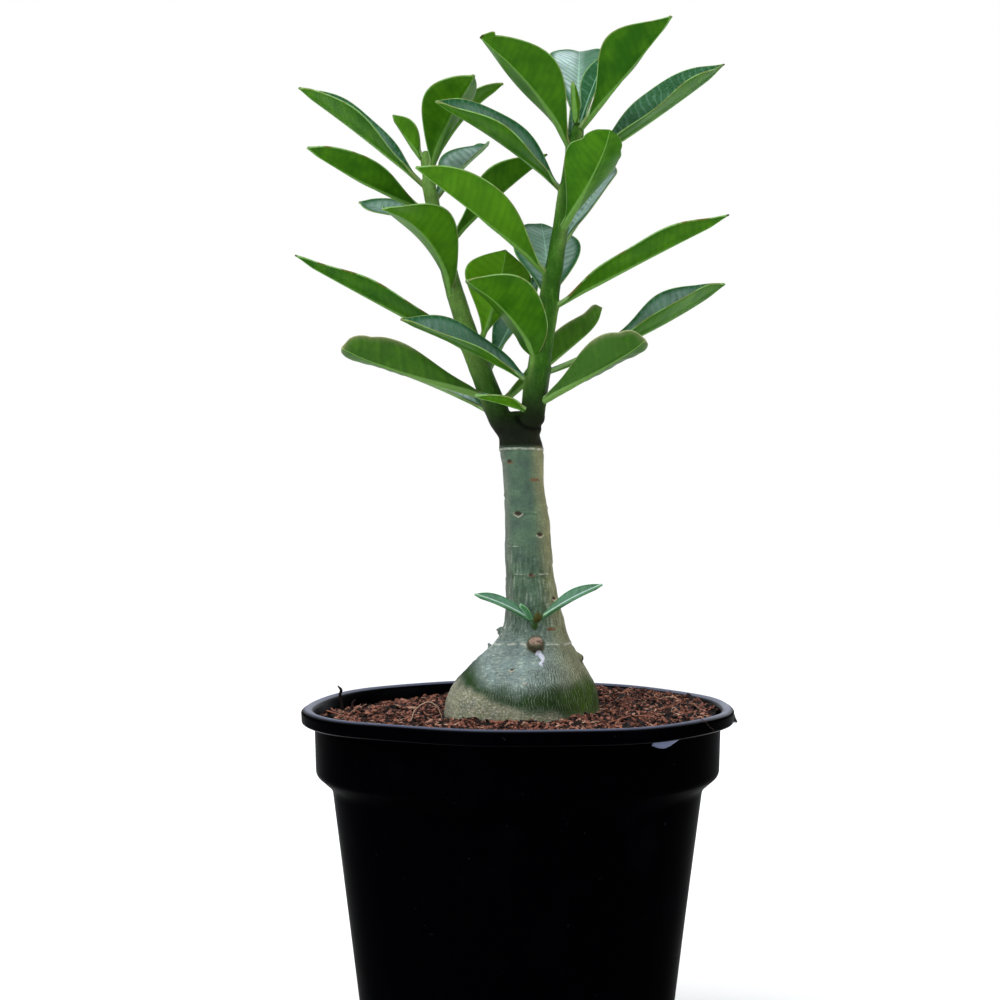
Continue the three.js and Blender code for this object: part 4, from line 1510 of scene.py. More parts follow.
@dataclass
class SwollenBase:
    """The caudex, trunk and stems, which grew as one piece, with their rings, scars and wrinkles."""

    finish: bpy.types.Material
    latex: bpy.types.Material
    trunk: Trunk
    leaves: tuple[Blade, ...]
    voxel: float = 0.64
    stub_foot: tuple[float, float, float] = (8.0, -9.0, 180.0)
    stub_tip: tuple[float, float, float] = (7.4, -20.0, 183.2)
    stub_radius: float = 2.9
    knobs: tuple[tuple[float, float, float, float], ...] = (
        (-7.2, -2.0, 186.4, 1.9), (-12.0, -1.0, 180.3, 1.3), (26.0, -2.0, 174.8, 2.5),
    )
    rings: tuple[Ring, ...] = (
        Ring(262.3, 0.35, -90, 360, 0.0), Ring(210.4, 0.9, -80, 116, 0.5, 0.15),
        Ring(181.3, 0.9, -90, 360, 0.5), Ring(221.6, 0.7, -130, 44, 1.0, 0.3),
        Ring(249.6, 0.4, -42, 30, 1.0, 0.3),
        Ring(235.6, 0.6, -100, 76, 0.9, 0.33), Ring(196.0, 0.6, 90, 110), Ring(232.0, 0.5, 80, 120),
        Ring(247.0, 0.5, 120, 80), Ring(243.0, 0.5, -170, 40), Ring(215.0, 0.5, -20, 40),
    )
    scars: tuple[Scar, ...] = (
        Scar(-132, 256.7, 1.3, rust=True, pale=False),
        Scar(-58, 249.4, 2.1, rust=True, pale=False, pit=False),
        Scar(-115, 235.0, 1.8), Scar(-56, 226.3, 1.7), Scar(-88, 209.6, 1.3, rust=True, pale=False),
        Scar(-35, 199.7, 1.3, rust=True), Scar(-57, 187.6, 2.0, rust=True, pale=False, pit=False),
        Scar(-107, 171.4, 1.0), Scar(-91, 166.6, 0.7, pit=False), Scar(40, 256.0, 1.7), Scar(118, 247.0, 1.8),
        Scar(12, 238.0, 1.6, rust=True), Scar(80, 231.6, 1.9), Scar(152, 224.0, 1.8), Scar(48, 214.0, 1.7),
        Scar(104, 204.0, 1.9, rust=True), Scar(168, 208.0, 1.6), Scar(90, 195.6, 1.8), Scar(60, 183.0, 1.7),
        Scar(140, 176.0, 1.5),
    )
    collar: tuple[float, float, float, float] = (6.6, 277.0, 6.6, 6.6)

    def rough_form(self) -> bpy.types.Object:
        """Lofts the trunk, stems, cut stub and knobs.

        Returns:
            All of them in one piece, still overlapping.
        """
        turns = round_turns(120)
        shell = Shell()
        heights = np.arange(self.trunk.levels[0][0], self.trunk.levels[-1][0] + 0.1, 0.75)
        shell.add(*loft(np.array([self.trunk.outline(h, turns) for h in heights])))
        for stem in STEMS.values():
            shares = np.linspace(0.0, 1.0, 150)
            tapered = 0.55 + 0.45 * (1 - (shares - 0.97) / 0.03)
            girth = stem.radius(shares) * np.where(shares > 0.97, tapered, 1.0)
            shell.add(*loft(tube(stem.at(shares), girth, 40)))
        stub = bend_through([self.stub_foot, self.stub_tip], 12)
        shell.add(*loft(tube(stub, self.stub_radius * np.linspace(1.45, 1.0, 12) ** 0.8, 28)))
        for x, y, z, radius in self.knobs:
            path = np.array([x, y, z]) + np.outer(np.linspace(-0.98, 0.98, 9), (0.0, 0.0, radius))
            shell.add(*loft(tube(path, radius * np.sqrt(1 - np.linspace(-0.98, 0.98, 9) ** 2), 14)))
        return shell.piece("stems_rough", self.finish)

    def remeshed(self) -> tuple[bpy.types.Object, np.ndarray, np.ndarray]:
        """Draws one even skin over all of it.

        Returns:
            The piece, its points in millimetres and its normals.
        """
        piece = self.rough_form()
        skin = piece.modifiers.new("skin", "REMESH")
        skin.mode = "VOXEL"
        skin.voxel_size = self.voxel * MM
        skin.use_smooth_shade = True
        ease = piece.modifiers.new("ease", "SMOOTH")
        ease.factor = 0.5
        ease.iterations = 5
        made = settled(piece, "swollen_base_and_stems")
        places = np.zeros(len(made.data.vertices) * 3)
        normals = np.zeros_like(places)
        made.data.vertices.foreach_get("co", places)
        made.data.vertices.foreach_get("normal", normals)
        return made, places.reshape(-1, 3) / MM, normals.reshape(-1, 3)

    def trunk_marks(self, places: np.ndarray) -> tuple[dict[str, np.ndarray], np.ndarray]:
        """Marks the trunk and base.

        Args:
            places: The piece's points.

        Returns:
            The marks by name, and how far each point is raised.
        """
        middle, half = self.trunk.span(places[:, 2])
        turn = np.arctan2(places[:, 1], places[:, 0] - middle)
        height = places[:, 2]
        on_trunk = 1.0 - smooth((height - 264.0) / 8.0)
        lift = np.zeros(len(places))
        marks = {name: np.full(len(places), 9.0) for name in ("ring_mm", "pit_mm", "lip_mm", "rust_mm")}
        marks["flank"] = np.cos(turn)
        waver = drift(places, 5.0, 3)
        gone = smooth((drift(places, 2.6, 17) - 0.05) / 0.5)
        frayed = 0.3 * np.abs(drift(places, 1.8, 5))
        # Growth rings: a fine raised line over a shallow groove, frayed and broken.
        for ring in self.rings:
            away = np.abs(angle_from(math.radians(ring.facing), turn))
            beyond = np.maximum(0.0, away - math.radians(ring.spread) / 2.0) * half
            gap = height - ring.height - ring.waver * waver
            distance = np.hypot(gap, beyond) + frayed + ring.gaps * gone + ring.faint
            distance = np.where(on_trunk > 0.2, distance, 9.0)
            marks["ring_mm"] = np.minimum(marks["ring_mm"], distance)
            lift += bell(beyond, 1.5) * on_trunk * (0.2 * bell(gap, 0.7) - 0.24 * bell(gap + 1.3, 0.7))
        # Leaf scars: a pit over a sagging lip, some with a rusty spot.
        for scar in self.scars:
            across = angle_from(math.radians(scar.turn), turn) * half
            up = height - scar.height
            pit = (np.hypot(across / scar.size, (up - 0.5) / (0.6 * scar.size)) - 1.0) * 0.6 * scar.size
            sag = -0.6 * scar.size + 0.55 * np.abs(across)
            lip = np.abs(up - sag) + np.maximum(0.0, np.abs(across) - 1.2 * scar.size)
            lift += on_trunk * 0.3 * bell(lip, 0.6)
            if scar.pit:
                lift -= on_trunk * 0.4 * bell(np.maximum(0.0, pit + 0.4), 0.4)
                marks["pit_mm"] = np.minimum(marks["pit_mm"], np.maximum(pit + 0.35, 0.0))
            if scar.pale:
                marks["lip_mm"] = np.minimum(marks["lip_mm"], lip)
            if scar.rust:
                spot = np.maximum(0.0, np.hypot(across, 3.0 * up) - scar.size + 0.6 * drift(places, 1.0, 33))
                marks["rust_mm"] = np.minimum(marks["rust_mm"], spot)
        # From the mix up: the speckled foot, the green band and the combed wrinkles.
        flank = marks["flank"]
        foot_line = 155.6 - 7.0 * flank + 2.9 * flank**2 + 1.6 * waver
        band_top = 159.5 + 2.0 * flank + np.where(flank < 0.0, 13.0, 1.5) * flank**2 + 2.4 * waver
        base = 1.0 - smooth((height - 184.0) / 10.0)
        marks["foot"] = (1.0 - smooth((height - foot_line) / 4.0)) * base
        marks["band"] = smooth((height - foot_line + 1.5) / 5.0)
        marks["band"] *= (1.0 - smooth((height - band_top) / 8.0)) * base
        comb_top = 16.0 * smooth((flank + 0.1) / 0.7)
        marks["comb"] = 1.0 - smooth((height - 162.0 - comb_top - 4.0 * waver) / 8.0)
        marks["comb"] *= (1.0 - marks["foot"]) * base
        # A groove round the lower front of the right stem's collar, cut in and darkened with a painted
        # shadow.
        front = np.maximum(0.0, -np.sin(turn))
        centre_x, centre_z, wide, tall = self.collar
        oval = np.hypot((places[:, 0] - centre_x) / wide, (height - centre_z) / tall)
        under = height < centre_z - 1.0
        shaded_crease = bell((oval - 1.0) * 6.4, 0.7) * under * smooth(front / 0.3)
        marks["shaded_crease"] = 0.9 * shaded_crease
        lift -= 0.7 * shaded_crease - 0.5 * bell((oval - 0.84) * 6.4, 0.9) * under * front
        # Upright wrinkles and grooves, weaker on the smooth foot.
        wrinkles = drift(circled(18.0, turn, height / 7.0), 1.35, 7)
        grooves = drift(circled(13.0, turn, height / 9.0), 1.5, 8)
        smooth_foot = 1.0 - 0.8 * marks["foot"]
        base_share = 1.0 - smooth((height - 178.0) / 8.0)
        lift += base_share * smooth_foot * (0.2 * wrinkles - 0.16 * np.abs(grooves) * marks["band"])
        upper = smooth((height - 180.0) / 10.0) * on_trunk
        lift += upper * (0.13 * drift(circled(9.0, turn, height / 8.0), 1.3, 9))
        lift += on_trunk * 0.35 * drift(places, 7.0, 11) + on_trunk * 0.14 * drift(places, 2.6, 12)
        # Level ripples round the left of the shoulder.
        shoulder = smooth((height - 170.0) / 6.0) * (1.0 - smooth((height - 187.0) / 5.0))
        shoulder = shoulder * smooth((0.5 - flank) / 0.6)
        kept = smooth((drift(places, 3.0, 19) + 0.4) / 0.5)
        lift += 0.16 * shoulder * np.sin(2.7 * height + 2.4 * waver) * kept
        return marks, lift

    def stem_marks(self, places: np.ndarray) -> tuple[np.ndarray, np.ndarray, np.ndarray]:
        """Marks the stems.

        Args:
            places: The piece's points.

        Returns:
            How much of a ridge runs below a leaf's foot, the lift that it gives, and the flank.
        """
        shares = np.linspace(0.0, 1.0, 300)
        centres = []
        for stem in STEMS.values():
            line = stem.at(shares)
            centres.append(np.stack([np.interp(places[:, 2], line[:, 2], line[:, k]) for k in (0, 1)], -1))
        gaps = np.stack([np.linalg.norm(places[:, :2] - c, axis=1) for c in centres], -1)
        nearest = gaps.argmin(1)
        ridge = np.zeros(len(places))
        lift = np.zeros(len(places))
        for blade in self.leaves:
            number = list(STEMS).index(blade.side)
            stem = STEMS[blade.side]
            girth = float(stem.radius(stem.share_at(blade.height)))
            centre = centres[number]
            turn = np.arctan2(places[:, 1] - centre[:, 1], places[:, 0] - centre[:, 0])
            across = angle_from(blade.heading, turn) * girth
            below = blade.height - places[:, 2]
            size = min(1.0, blade.width / 20.0)
            along = smooth((below + 3.0) / 3.0) * (1.0 - smooth((below - 2.0) / (15.0 * size)))
            here = np.where(nearest == number, along, 0.0) * bell(across, 1.3 + 0.06 * below.clip(0)) * size
            ridge = np.maximum(ridge, here)
            node = np.where(nearest == number, 1.0, 0.0) * bell(below + 0.5, 2.0) * bell(across, 2.6)
            lift = np.maximum(lift, 0.55 * here + 0.5 * size * node)
        x = places[:, 0] - np.where(nearest == 0, centres[0][:, 0], centres[1][:, 0])
        flank = np.clip(x / np.maximum(1.0, gaps.min(1)), -1.0, 1.0)
        return ridge, lift, flank

    def stub_frame(self, places: np.ndarray) -> tuple[np.ndarray, np.ndarray, np.ndarray, np.ndarray]:
        """Measures points from the cut stub.

        Args:
            places: The piece's points.

        Returns:
            Each point's distance along the stub, above its axis and away from it, and where the cut ends it.
        """
        foot, tip = np.array(self.stub_foot), np.array(self.stub_tip)
        length = np.linalg.norm(tip - foot)
        ahead = (tip - foot) / length
        along = (places - foot) @ ahead
        beside = places - foot - np.outer(along, ahead)
        above = beside @ np.cross(np.cross(ahead, (0.0, 0.0, 1.0)), ahead)
        return along, above, np.linalg.norm(beside, axis=1), length - 1.1 * (above + 1.0).clip(0.0)

    def cut_obliquely(self, places: np.ndarray) -> np.ndarray:
        """Presses the stub's end back to the slanting face that the cut left.

        Args:
            places: The piece's points.

        Returns:
            The points, with the stub's end moved.
        """
        along, _, away, limit = self.stub_frame(places)
        ahead = np.array(self.stub_tip) - self.stub_foot
        over = np.where((away < 4.2) & (along > 5.0), (along - limit).clip(0.0), 0.0)
        return places - np.outer(over, ahead / np.linalg.norm(ahead))

    def stub_marks(self, places: np.ndarray) -> tuple[np.ndarray, np.ndarray]:
        """Marks the stub.

        Args:
            places: The piece's points.

        Returns:
            Its dark skin and its cut face.
        """
        along, above, away, limit = self.stub_frame(places)
        near = smooth((along - 4.6) / 2.5) * (1.0 - smooth((away - 3.6) / 1.0))
        cut = smooth((along - limit + 0.6) / 0.4) * smooth((above + 1.3) / 0.5)
        return near, cut * (1.0 - smooth((away - 2.9) / 0.5)) * near

    def build(self) -> None:
        """Makes the trunk and stems in their solid's place, and the run of latex below the cut."""
        piece, places, normals = self.remeshed()
        waved = drift(places, 1.4, 44)
        places = self.cut_obliquely(places)
        marks, lift = self.trunk_marks(places)
        ridge, raised, flank = self.stem_marks(places)
        stemlike = smooth((places[:, 2] - 272.0) / 12.0)
        marks["flank"] = marks["flank"] * (1.0 - stemlike) + flank * stemlike
        marks["ridge"] = ridge * stemlike
        marks["stub"], marks["cut"] = self.stub_marks(places)
        # The knobs are dark and pitted at their outer ends, and two of them have a pale rim.
        for number, (x, y, z, radius) in enumerate(self.knobs):
            away = places - (x, y, z)
            near = np.linalg.norm(away, axis=1) / radius
            outward = np.sign(x - 5.0) * away[:, 0] / radius
            bulge = (1.0 - smooth((near - 1.0) / 0.5)) * smooth((outward + 0.2) / 0.6)
            lift -= bulge * (0.14 * radius + 0.5 * np.abs(drift(places, 1.1, 40 + number)))
            end = (near < 1.4) & (outward > 0.55)
            marks["pit_mm"] = np.where(end, 0.1 + 0.3 * np.abs(waved), marks["pit_mm"])
            pale = (near < 1.9) & (near > 1.15) & (waved > -0.1) & (number < 2)
            marks["ring_mm"] = np.where(pale, 0.1, marks["ring_mm"])
        lift = lift * (1.0 - marks["stub"]) + 0.45 * marks["stub"] * waved + raised * stemlike
        lift += stemlike * 0.12 * drift(places * (1, 1, 0.3), 1.8, 14)
        lift -= marks["cut"] * (0.3 + 0.35 * waved)
        raised_places = (places + normals * lift[:, None]) * MM
        piece.data.vertices.foreach_set("co", raised_places.astype(np.float32).reshape(-1))
        store_marks(piece.data, marks)
        piece.data.update()
        place_piece(piece, Slot.BARK, "caudex_and_stems")
        self.latex_run(piece)

    def latex_run(self, trunk: bpy.types.Object) -> None:
        """Lays a run of dried sap from the cut stub down the base, on its skin.

        Args:
            trunk: The finished trunk.
        """
        bpy.context.view_layer.update()
        path = []
        for x, z in ((8.2, 179.2), (8.8, 177.9), (9.9, 176.6), (10.3, 175.4), (9.7, 174.2), (10.2, 172.9)):
            hit, spot, _, _ = trunk.ray_cast(Vector((x, -60.0, z)) * MM, Vector((0.0, 1.0, 0.0)))
            if hit:
                path.append(tuple(np.array(spot) / MM + (0.0, 0.15, 0.0)))
        if len(path) < 3:
            LOG.warning("the latex run found no skin to lie on")
            return
        stops, sizes = (0, 0.12, 0.35, 0.7, 0.9, 1.0), (0.3, 1.4, 1.2, 0.75, 0.7, 0.15)
        girth = np.interp(np.linspace(0, 1, 22), stops, sizes)
        points, faces = loft(tube(bend_through(path, 22), girth, 14))
        points = points + 0.4 * np.stack([drift(points, 0.9, seed) for seed in (51, 52, 53)], -1)
        place_piece(Shell().add(points, faces).piece("latex_run", self.latex), Slot.BARK)


@dataclass
class PottingMix:
    """Coir chips packed in the pot, with loose chips and fibres on top."""

    finish: bpy.types.Material
    trunk: Trunk
    level: float = 152.4
    tilt: float = 0.027
    back_tilt: float = 0.01
    relief: float = 0.8
    top_radius: float = 83.0
    back_rise: float = 1.2
    inside: tuple[tuple[float, float], ...] = (
        (1.0, 2.8), (30.0, 2.8), (59.3, 2.8), (74.5, 122.9), (81.3, 128.8), (82.0, 147.0),
    )
    socket: tuple[float, ...] = (148.0, 138.0, 120.0, 104.0, 96.0, 95.7)
    tear: float = 1.7
    sides: int = 240
    rows: int = 70
    chip_count: int = 7600
    chip_length: float = 7.2
    fibre_count: int = 420
    fibre_length: float = 9.0
    seed: int = 11

    def height_at(self, x: np.ndarray, y: np.ndarray) -> np.ndarray:
        """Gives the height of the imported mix, tilted a little, with mounds, dips and crumbs.

        Args:
            x: Places to the right of the axis.
            y: The same places' distance behind it.

        Returns:
            The height at each place.
        """
        mounds = np.sin(0.21 * x + 0.13 * y) * np.cos(0.17 * y - 0.07 * x)
        dips = 0.5 * np.sin(0.43 * x - 0.37 * y)
        rise = self.back_rise * smooth((y - 5.0) / 60.0) * (1.0 - 1.8 * smooth((-x - 14.0) / 36.0))
        flat = np.stack([x, y, np.zeros_like(x)], -1).reshape(-1, 3)
        crumbs = (0.7 * drift(flat, 3.2, 21) + 0.45 * drift(flat, 1.5, 22)).reshape(np.shape(x))
        plane = self.level + self.tilt * x + self.back_tilt * y
        return plane + self.relief * (mounds + dips) + crumbs - 0.6 + rise

    def top_rings(self) -> np.ndarray:
        """Makes the mix's top.

        Returns:
            Rings of points, from the pot's wall in to the swollen base.
        """
        turns = round_turns(self.sides)
        inner = self.trunk.outline(151.0, turns, 0.4)
        outer = circled(self.top_radius, turns, 0.0)
        rings = []
        for share in np.linspace(0.0, 1.0, self.rows):
            ring = outer * (1.0 - share) + inner * share
            ring[:, 2] = self.height_at(ring[:, 0], ring[:, 1])
            rings.append(ring)
        return np.array(rings)

    def packed(self) -> bpy.types.Object:
        """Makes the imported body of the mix, with the hole that the plant stands in.

        Returns:
            The piece.
        """
        turns = round_turns(self.sides)
        rings = [circled(radius, turns, height) for radius, height in self.inside]
        rings += list(self.top_rings())
        rings += [self.trunk.outline(height, turns, 0.3) for height in self.socket]
        # Tone 0 paints the packed mix near black: a painted shadow in the gaps between the loose chips.
        return Shell().add(*loft(np.array(rings)), shade=0.0).piece("packed_coir", self.finish)

    def scatter_tree(self, grain: Grain) -> tuple[bpy.types.NodeTree, dict[str, str]]:
        """Geometry Nodes that strew one kind of grain over a bed.

        Args:
            grain: Chips or fibres.

        Returns:
            The node tree and the identifier of each input by its name.
        """
        tree = bpy.data.node_groups.new(f"strew_{grain.value}s", "GeometryNodeTree")
        kinds = {
            "Bed": "NodeSocketGeometry", "Per Square Metre": "NodeSocketFloat", "Length": "NodeSocketFloat",
            "Raggedness": "NodeSocketFloat", "Seed": "NodeSocketInt", "Finish": "NodeSocketMaterial",
        }
        known = {
            name: tree.interface.new_socket(name, in_out="INPUT", socket_type=kind).identifier
            for name, kind in kinds.items()
        }
        tree.interface.new_socket("Grains", in_out="OUTPUT", socket_type="NodeSocketGeometry")
        add = partial(add_node, tree)
        asked = add("NodeGroupInput").outputs
        bed = {"Mesh": asked["Bed"], "Density": asked["Per Square Metre"], "Seed": asked["Seed"]}
        spots = add("GeometryNodeDistributePointsOnFaces", bed)
        chip = grain is Grain.CHIP
        tilt = 0.62 if chip else 0.3
        turns = {"Min": (-tilt, -tilt, 0.0), "Max": (tilt, tilt, FULL_TURN), "Seed": asked["Seed"]}
        turned = add("FunctionNodeEulerToRotation", {"Euler": add(RANDOM, turns, data_type="FLOAT_VECTOR")})
        lying = {"Rotation": spots.outputs["Rotation"], "Rotate By": turned}
        lay = add("FunctionNodeRotateRotation", lying, rotation_space="LOCAL")
        least = (0.5, 0.14, 0.09) if chip else (0.4, 0.4, 0.2)
        most = (1.0, 0.38, 0.24) if chip else (1.0, 1.0, 1.2)
        build = add(RANDOM, {"Min": least, "Max": most, "Seed": 3}, data_type="FLOAT_VECTOR")
        chance = add(RANDOM, {"Min": 0.25, "Max": 1.0, "Seed": 5})
        size = add(MATH, {0: chance, 1: asked["Length"]}, operation="MULTIPLY")
        scale = add(VECTORS, {0: build, "Scale": size}, operation="SCALE")
        if chip:
            form = add("GeometryNodeMeshIcoSphere", {"Radius": 0.5, "Subdivisions": 1})
        else:
            ends = {"Start": (-0.5, 0.0, 0.0), "Middle": (0.05, 0.3, 0.3), "End": (0.5, 0.0, -0.05)}
            line = add("GeometryNodeCurveQuadraticBezier", {"Resolution": 7, **ends})
            girth = add("GeometryNodeCurvePrimitiveCircle", {"Resolution": 4, "Radius": 0.016})
            form = add("GeometryNodeCurveToMesh", {"Curve": line, "Profile Curve": girth, "Fill Caps": True})
        laid = {"Points": spots, "Instance": form, "Rotation": lay, "Scale": scale}
        strewn = add("GeometryNodeInstanceOnPoints", laid)
        darkest, palest = (0.0, 1.0) if chip else (0.4, 1.15)
        tone = add(RANDOM, {"Min": darkest, "Max": palest, "Seed": 8})
        shaded = {"Geometry": strewn, "Name": "shade", "Value": tone}
        toned = add("GeometryNodeStoreNamedAttribute", shaded, domain="INSTANCE", data_type="FLOAT")
        real = add("GeometryNodeRealizeInstances", {"Geometry": toned})
        place = add("GeometryNodeInputPosition")
        ragged = add(NOISE, {"Vector": place, "Scale": per_mm(self.tear), "Detail": 1.0})
        centred = add(VECTORS, {0: ragged.outputs["Color"], 1: (-0.5, -0.5, -0.5)}, operation="ADD")
        offset = add(VECTORS, {0: centred, "Scale": asked["Raggedness"]}, operation="SCALE")
        torn = add("GeometryNodeSetPosition", {"Geometry": real, "Offset": offset})
        flat = add("GeometryNodeSetShadeSmooth", {"Geometry": torn, "Shade Smooth": not chip})
        done = add("GeometryNodeSetMaterial", {"Geometry": flat, "Material": asked["Finish"]})
        add("NodeGroupOutput", {"Grains": done})
        return tree, known

    def strewn(self, grain: Grain, count: int, length: float, ragged: float) -> bpy.types.Object:
        """Loose grains over the top of the mix.

        Args:
            grain: Chips or fibres.
            count: About how many.
            length: The longest grain.
            ragged: How far the grains' points are thrown about.

        Returns:
            The grains as one plain mesh.
        """
        rings = self.top_rings()[1:-1]
        rows, cols = rings.shape[:2]
        here = np.arange(rows * cols).reshape(rows, cols)
        beside = np.roll(here, -1, axis=1)
        faces = quads(here[:-1], beside[:-1], beside[1:], here[1:])
        bed = Shell().add(rings.reshape(-1, 3), faces).piece(f"{grain.value}_bed", self.finish)
        area = sum(face.area for face in bed.data.polygons)
        tree, known = self.scatter_tree(grain)
        strew = bed.modifiers.new("strew", "NODES")
        strew.node_group = tree
        values = {
            "Per Square Metre": count / area, "Length": length * MM, "Raggedness": ragged * MM,
            "Seed": self.seed, "Finish": self.finish,
        }
        for name, value in values.items():
            strew[known[name]] = value
        return settled(bed, f"loose_coir_{grain.value}s")

    def build(self) -> None:
        """Makes the mix in its solid's place, with its loose top."""
        place_piece(self.packed(), Slot.COIR, "potting_mix")
        place_piece(self.strewn(Grain.CHIP, self.chip_count, self.chip_length, 0.9), Slot.COIR)
        place_piece(self.strewn(Grain.FIBRE, self.fibre_count, self.fibre_length, 1.6), Slot.COIR)


@dataclass
class Litter:
    """The few twigs, straws and long fibres that stand out of the mix."""

    finish: bpy.types.Material
    strands: tuple[tuple[tuple[tuple[float, float, float], ...], float, float], ...] = (
        (
            (
                (-75.0, 20.0, 149.0), (-75.2, 19.5, 153.5), (-75.8, 19.0, 157.0), (-75.3, 19.0, 159.6),
                (-76.8, 19.0, 161.2),
            ), 0.75, 0.12,
        ),
        (((-70.5, 18.0, 149.0), (-70.2, 18.0, 153.0), (-69.2, 17.5, 155.6)), 0.7, 0.2),
        (((-71.5, 8.0, 150.2), (-68.5, 7.0, 152.4), (-65.8, 6.0, 154.6)), 0.3, 1.0),
        (
            (
                (-43.8, -22.0, 150.0), (-41.6, -22.0, 155.6), (-37.2, -21.6, 158.4), (-33.2, -21.0, 157.2),
                (-31.2, -20.4, 153.6), (-30.6, -20.0, 150.6),
            ), 0.2, 1.25,
        ),
        (((-79.0, -8.0, 153.6), (-73.0, -10.0, 152.0), (-68.0, -13.0, 150.6)), 0.3, 0.86),
        (
            ((71.6, -50.4, 155.2), (73.2, -53.2, 154.2), (76.0, -50.8, 151.2), (79.4, -47.2, 147.8)),
            0.12, 0.22,
        ),
        (
            ((-33.0, -34.0, 150.6), (-24.0, -41.0, 151.6), (-14.0, -45.0, 151.0), (-6.0, -51.0, 151.2)),
            0.34, 0.98,
        ),
        (((36.0, -40.0, 152.4), (46.0, -36.0, 154.6), (57.0, -38.0, 154.0)), 0.36, 0.8),
        (((60.0, 30.0, 153.6), (66.0, 22.0, 156.2), (70.0, 10.0, 155.6)), 0.4, 1.0),
    )

    def build(self) -> None:
        """Makes the strands as one piece."""
        shell = Shell()
        for points, radius, shade in self.strands:
            path = bend_through(list(points), 7 * len(points))
            path[1:-1] += 0.25 * np.stack([drift(path[1:-1], 1.6, seed) for seed in (31, 32, 33)], -1)
            girth = radius * np.interp(np.linspace(0, 1, len(path)), (0, 0.8, 1.0), (1.0, 0.8, 0.25))
            shell.add(*loft(tube(path, girth, 8)), shade=shade)
        place_piece(shell.piece("twigs_and_straws", self.finish), Slot.COIR)


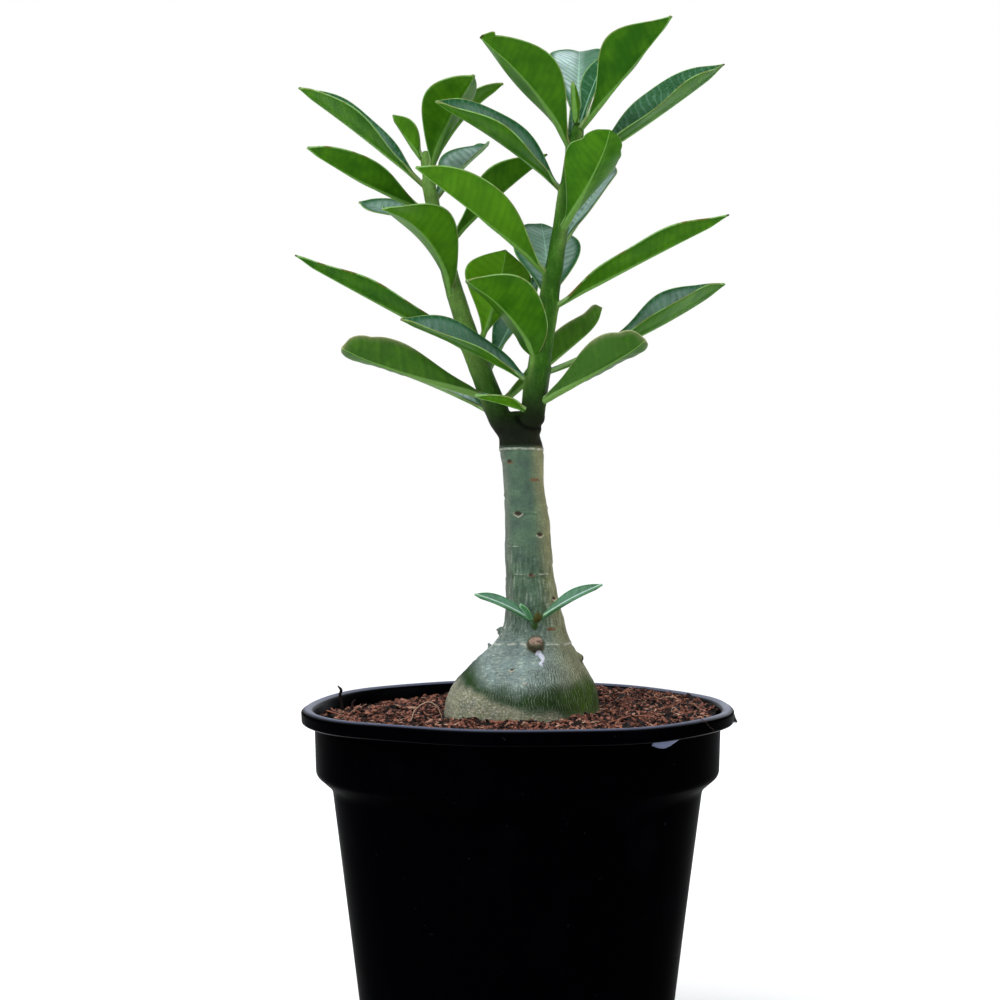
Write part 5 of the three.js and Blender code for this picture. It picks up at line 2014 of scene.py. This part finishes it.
@dataclass
class Studio:
    """A pale floor, soft lights and the camera at the photograph's angle. The lamps' aim is in metres."""

    floor_finish: bpy.types.Material
    floor_radius: float = 14000.0
    floor_middle: float = 400.0
    floor_thickness: float = 6.0
    camera_at: tuple[float, float, float] = (-7.1, -793.0, 241.0)
    aim: tuple[float, float, float] = (0.0, 0.0, 0.25)
    sky_from: tuple[float, float, float] = (-0.25, -0.42, 1.0)
    lens: float = 68.1
    sensor: float = 36.0
    sky_power: float = 3.0
    sky_spread: float = 75.0
    sky_colour: str = "#fdfdff"
    room_colour: str = "#e6edf4"
    room_strength: float = 0.3
    wall_colour: str = "#ffffff"

    def floor(self) -> None:
        """The floor, as a thin round sheet."""
        turns = np.linspace(0.0, FULL_TURN, 96, endpoint=False)
        near, far, low = self.floor_middle, self.floor_radius, -self.floor_thickness
        edges = ((near, low), (far, low), (far, 0.0), (near, 0.0))
        rings = [circled(radius, turns, height) for radius, height in edges]
        piece = Shell().add(*loft(np.array(rings))).piece("studio_floor", self.floor_finish, soft=False)

    def lamp(
        self, name: str, place: tuple[float, float, float], size: tuple[float, float], power: float,
        colour: str,
    ) -> None:
        """Hangs one soft box that faces the plant.

        Args:
            name: Its name.
            place: Where it hangs, in metres.
            size: Its two sides, in metres.
            power: Its power in watts.
            colour: Its light's colour.
        """
        light = bpy.data.lights.new(name, "AREA")
        light.shape = "RECTANGLE"
        light.size, light.size_y = size
        light.energy = power
        light.color = linear(colour)[:3]
        lamp = linked(name, light)
        lamp.location = place
        lamp.rotation_euler = (Vector(self.aim) - Vector(place)).to_track_quat("-Z", "Y").to_euler()

    def skylight(self) -> None:
        """Hangs a broad even light above and a little in front, which lights the floor to its far edge."""
        light = bpy.data.lights.new("skylight", "SUN")
        light.energy = self.sky_power
        light.angle = math.radians(self.sky_spread)
        light.color = linear(self.sky_colour)[:3]
        lamp = linked("skylight", light)
        lamp.rotation_euler = Vector(self.sky_from).to_track_quat("Z", "Y").to_euler()

    def surroundings(self) -> None:
        """An even pale room: white where it is seen, dimmer where it only lights the plant."""
        world = bpy.data.worlds.new("pale_room")
        world.use_nodes = True
        world.node_tree.nodes.clear()
        add = partial(add_node, world.node_tree)
        seen = add("ShaderNodeLightPath").outputs["Is Camera Ray"]
        room = add("ShaderNodeBackground", {"Color": self.room_colour, "Strength": self.room_strength})
        wall = add("ShaderNodeBackground", {"Color": self.wall_colour, "Strength": 1.0})
        both = add("ShaderNodeMixShader", {0: seen, 1: room, 2: wall})
        add("ShaderNodeOutputWorld", {"Surface": both})
        bpy.context.scene.world = world

    def camera(self) -> None:
        """The camera, level, as far off as the photograph was taken."""
        data = bpy.data.cameras.new("camera")
        data.lens = self.lens
        data.sensor_width = self.sensor
        data.clip_start, data.clip_end = 0.01, 60.0
        camera = linked("camera", data)
        camera.location = Vector(self.camera_at) * MM
        camera.rotation_euler = (math.pi / 2.0, 0.0, 0.0)
        bpy.context.scene.camera = camera

    def build(self) -> None:
        """Sets up the floor, lights, room and camera."""
        self.camera()
        self.floor()
        self.surroundings()
        self.skylight()
        self.lamp("left_softbox", (-1.25, -0.75, 0.75), (0.8, 1.1), 7.0, "#ffffff")
        self.lamp("right_softbox", (1.3, -0.35, 0.7), (0.7, 1.1), 5.0, "#fff8ee")
        self.lamp("back_softbox", (0.2, 1.35, 0.75), (1.6, 0.9), 5.0, "#f2f6ff")
        bpy.context.scene.view_settings.view_transform = "Standard"


def main() -> None:
    """Loads the frame and builds the plant, the pot and the studio."""
    logging.basicConfig(level=logging.INFO, format="%(name)s: %(message)s")
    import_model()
    Studio(PaintedFloor().make()).build()
    trunk = Trunk()
    husk = CoirHusk().make()
    waxy = WaxyLeaf().make()
    NurseryPot(MouldedPolypropylene().make()).build()
    PottingMix(husk, trunk).build()
    Litter(husk).build()
    foliage = Foliage(waxy)
    foliage.build()
    shoot = WaxyLeaf(
        name="grown_shoot_leaf", upper="#2c5936", upper_light="#417550", upper_vein="#6d9c7c", dry="#41401a",
        under="#2c6034", under_light="#4f8c52", midrib="#a9d3ad", upper_rib="#cfe8dc", margin="#6f9f74",
        rusty="#86601f",
    )
    BasalShoot(shoot.make()).build()
    SwollenBase(YoungBark().make(), DriedLatex().make(), trunk, foliage.leaves).build()


if __name__ == "__main__":
    main()
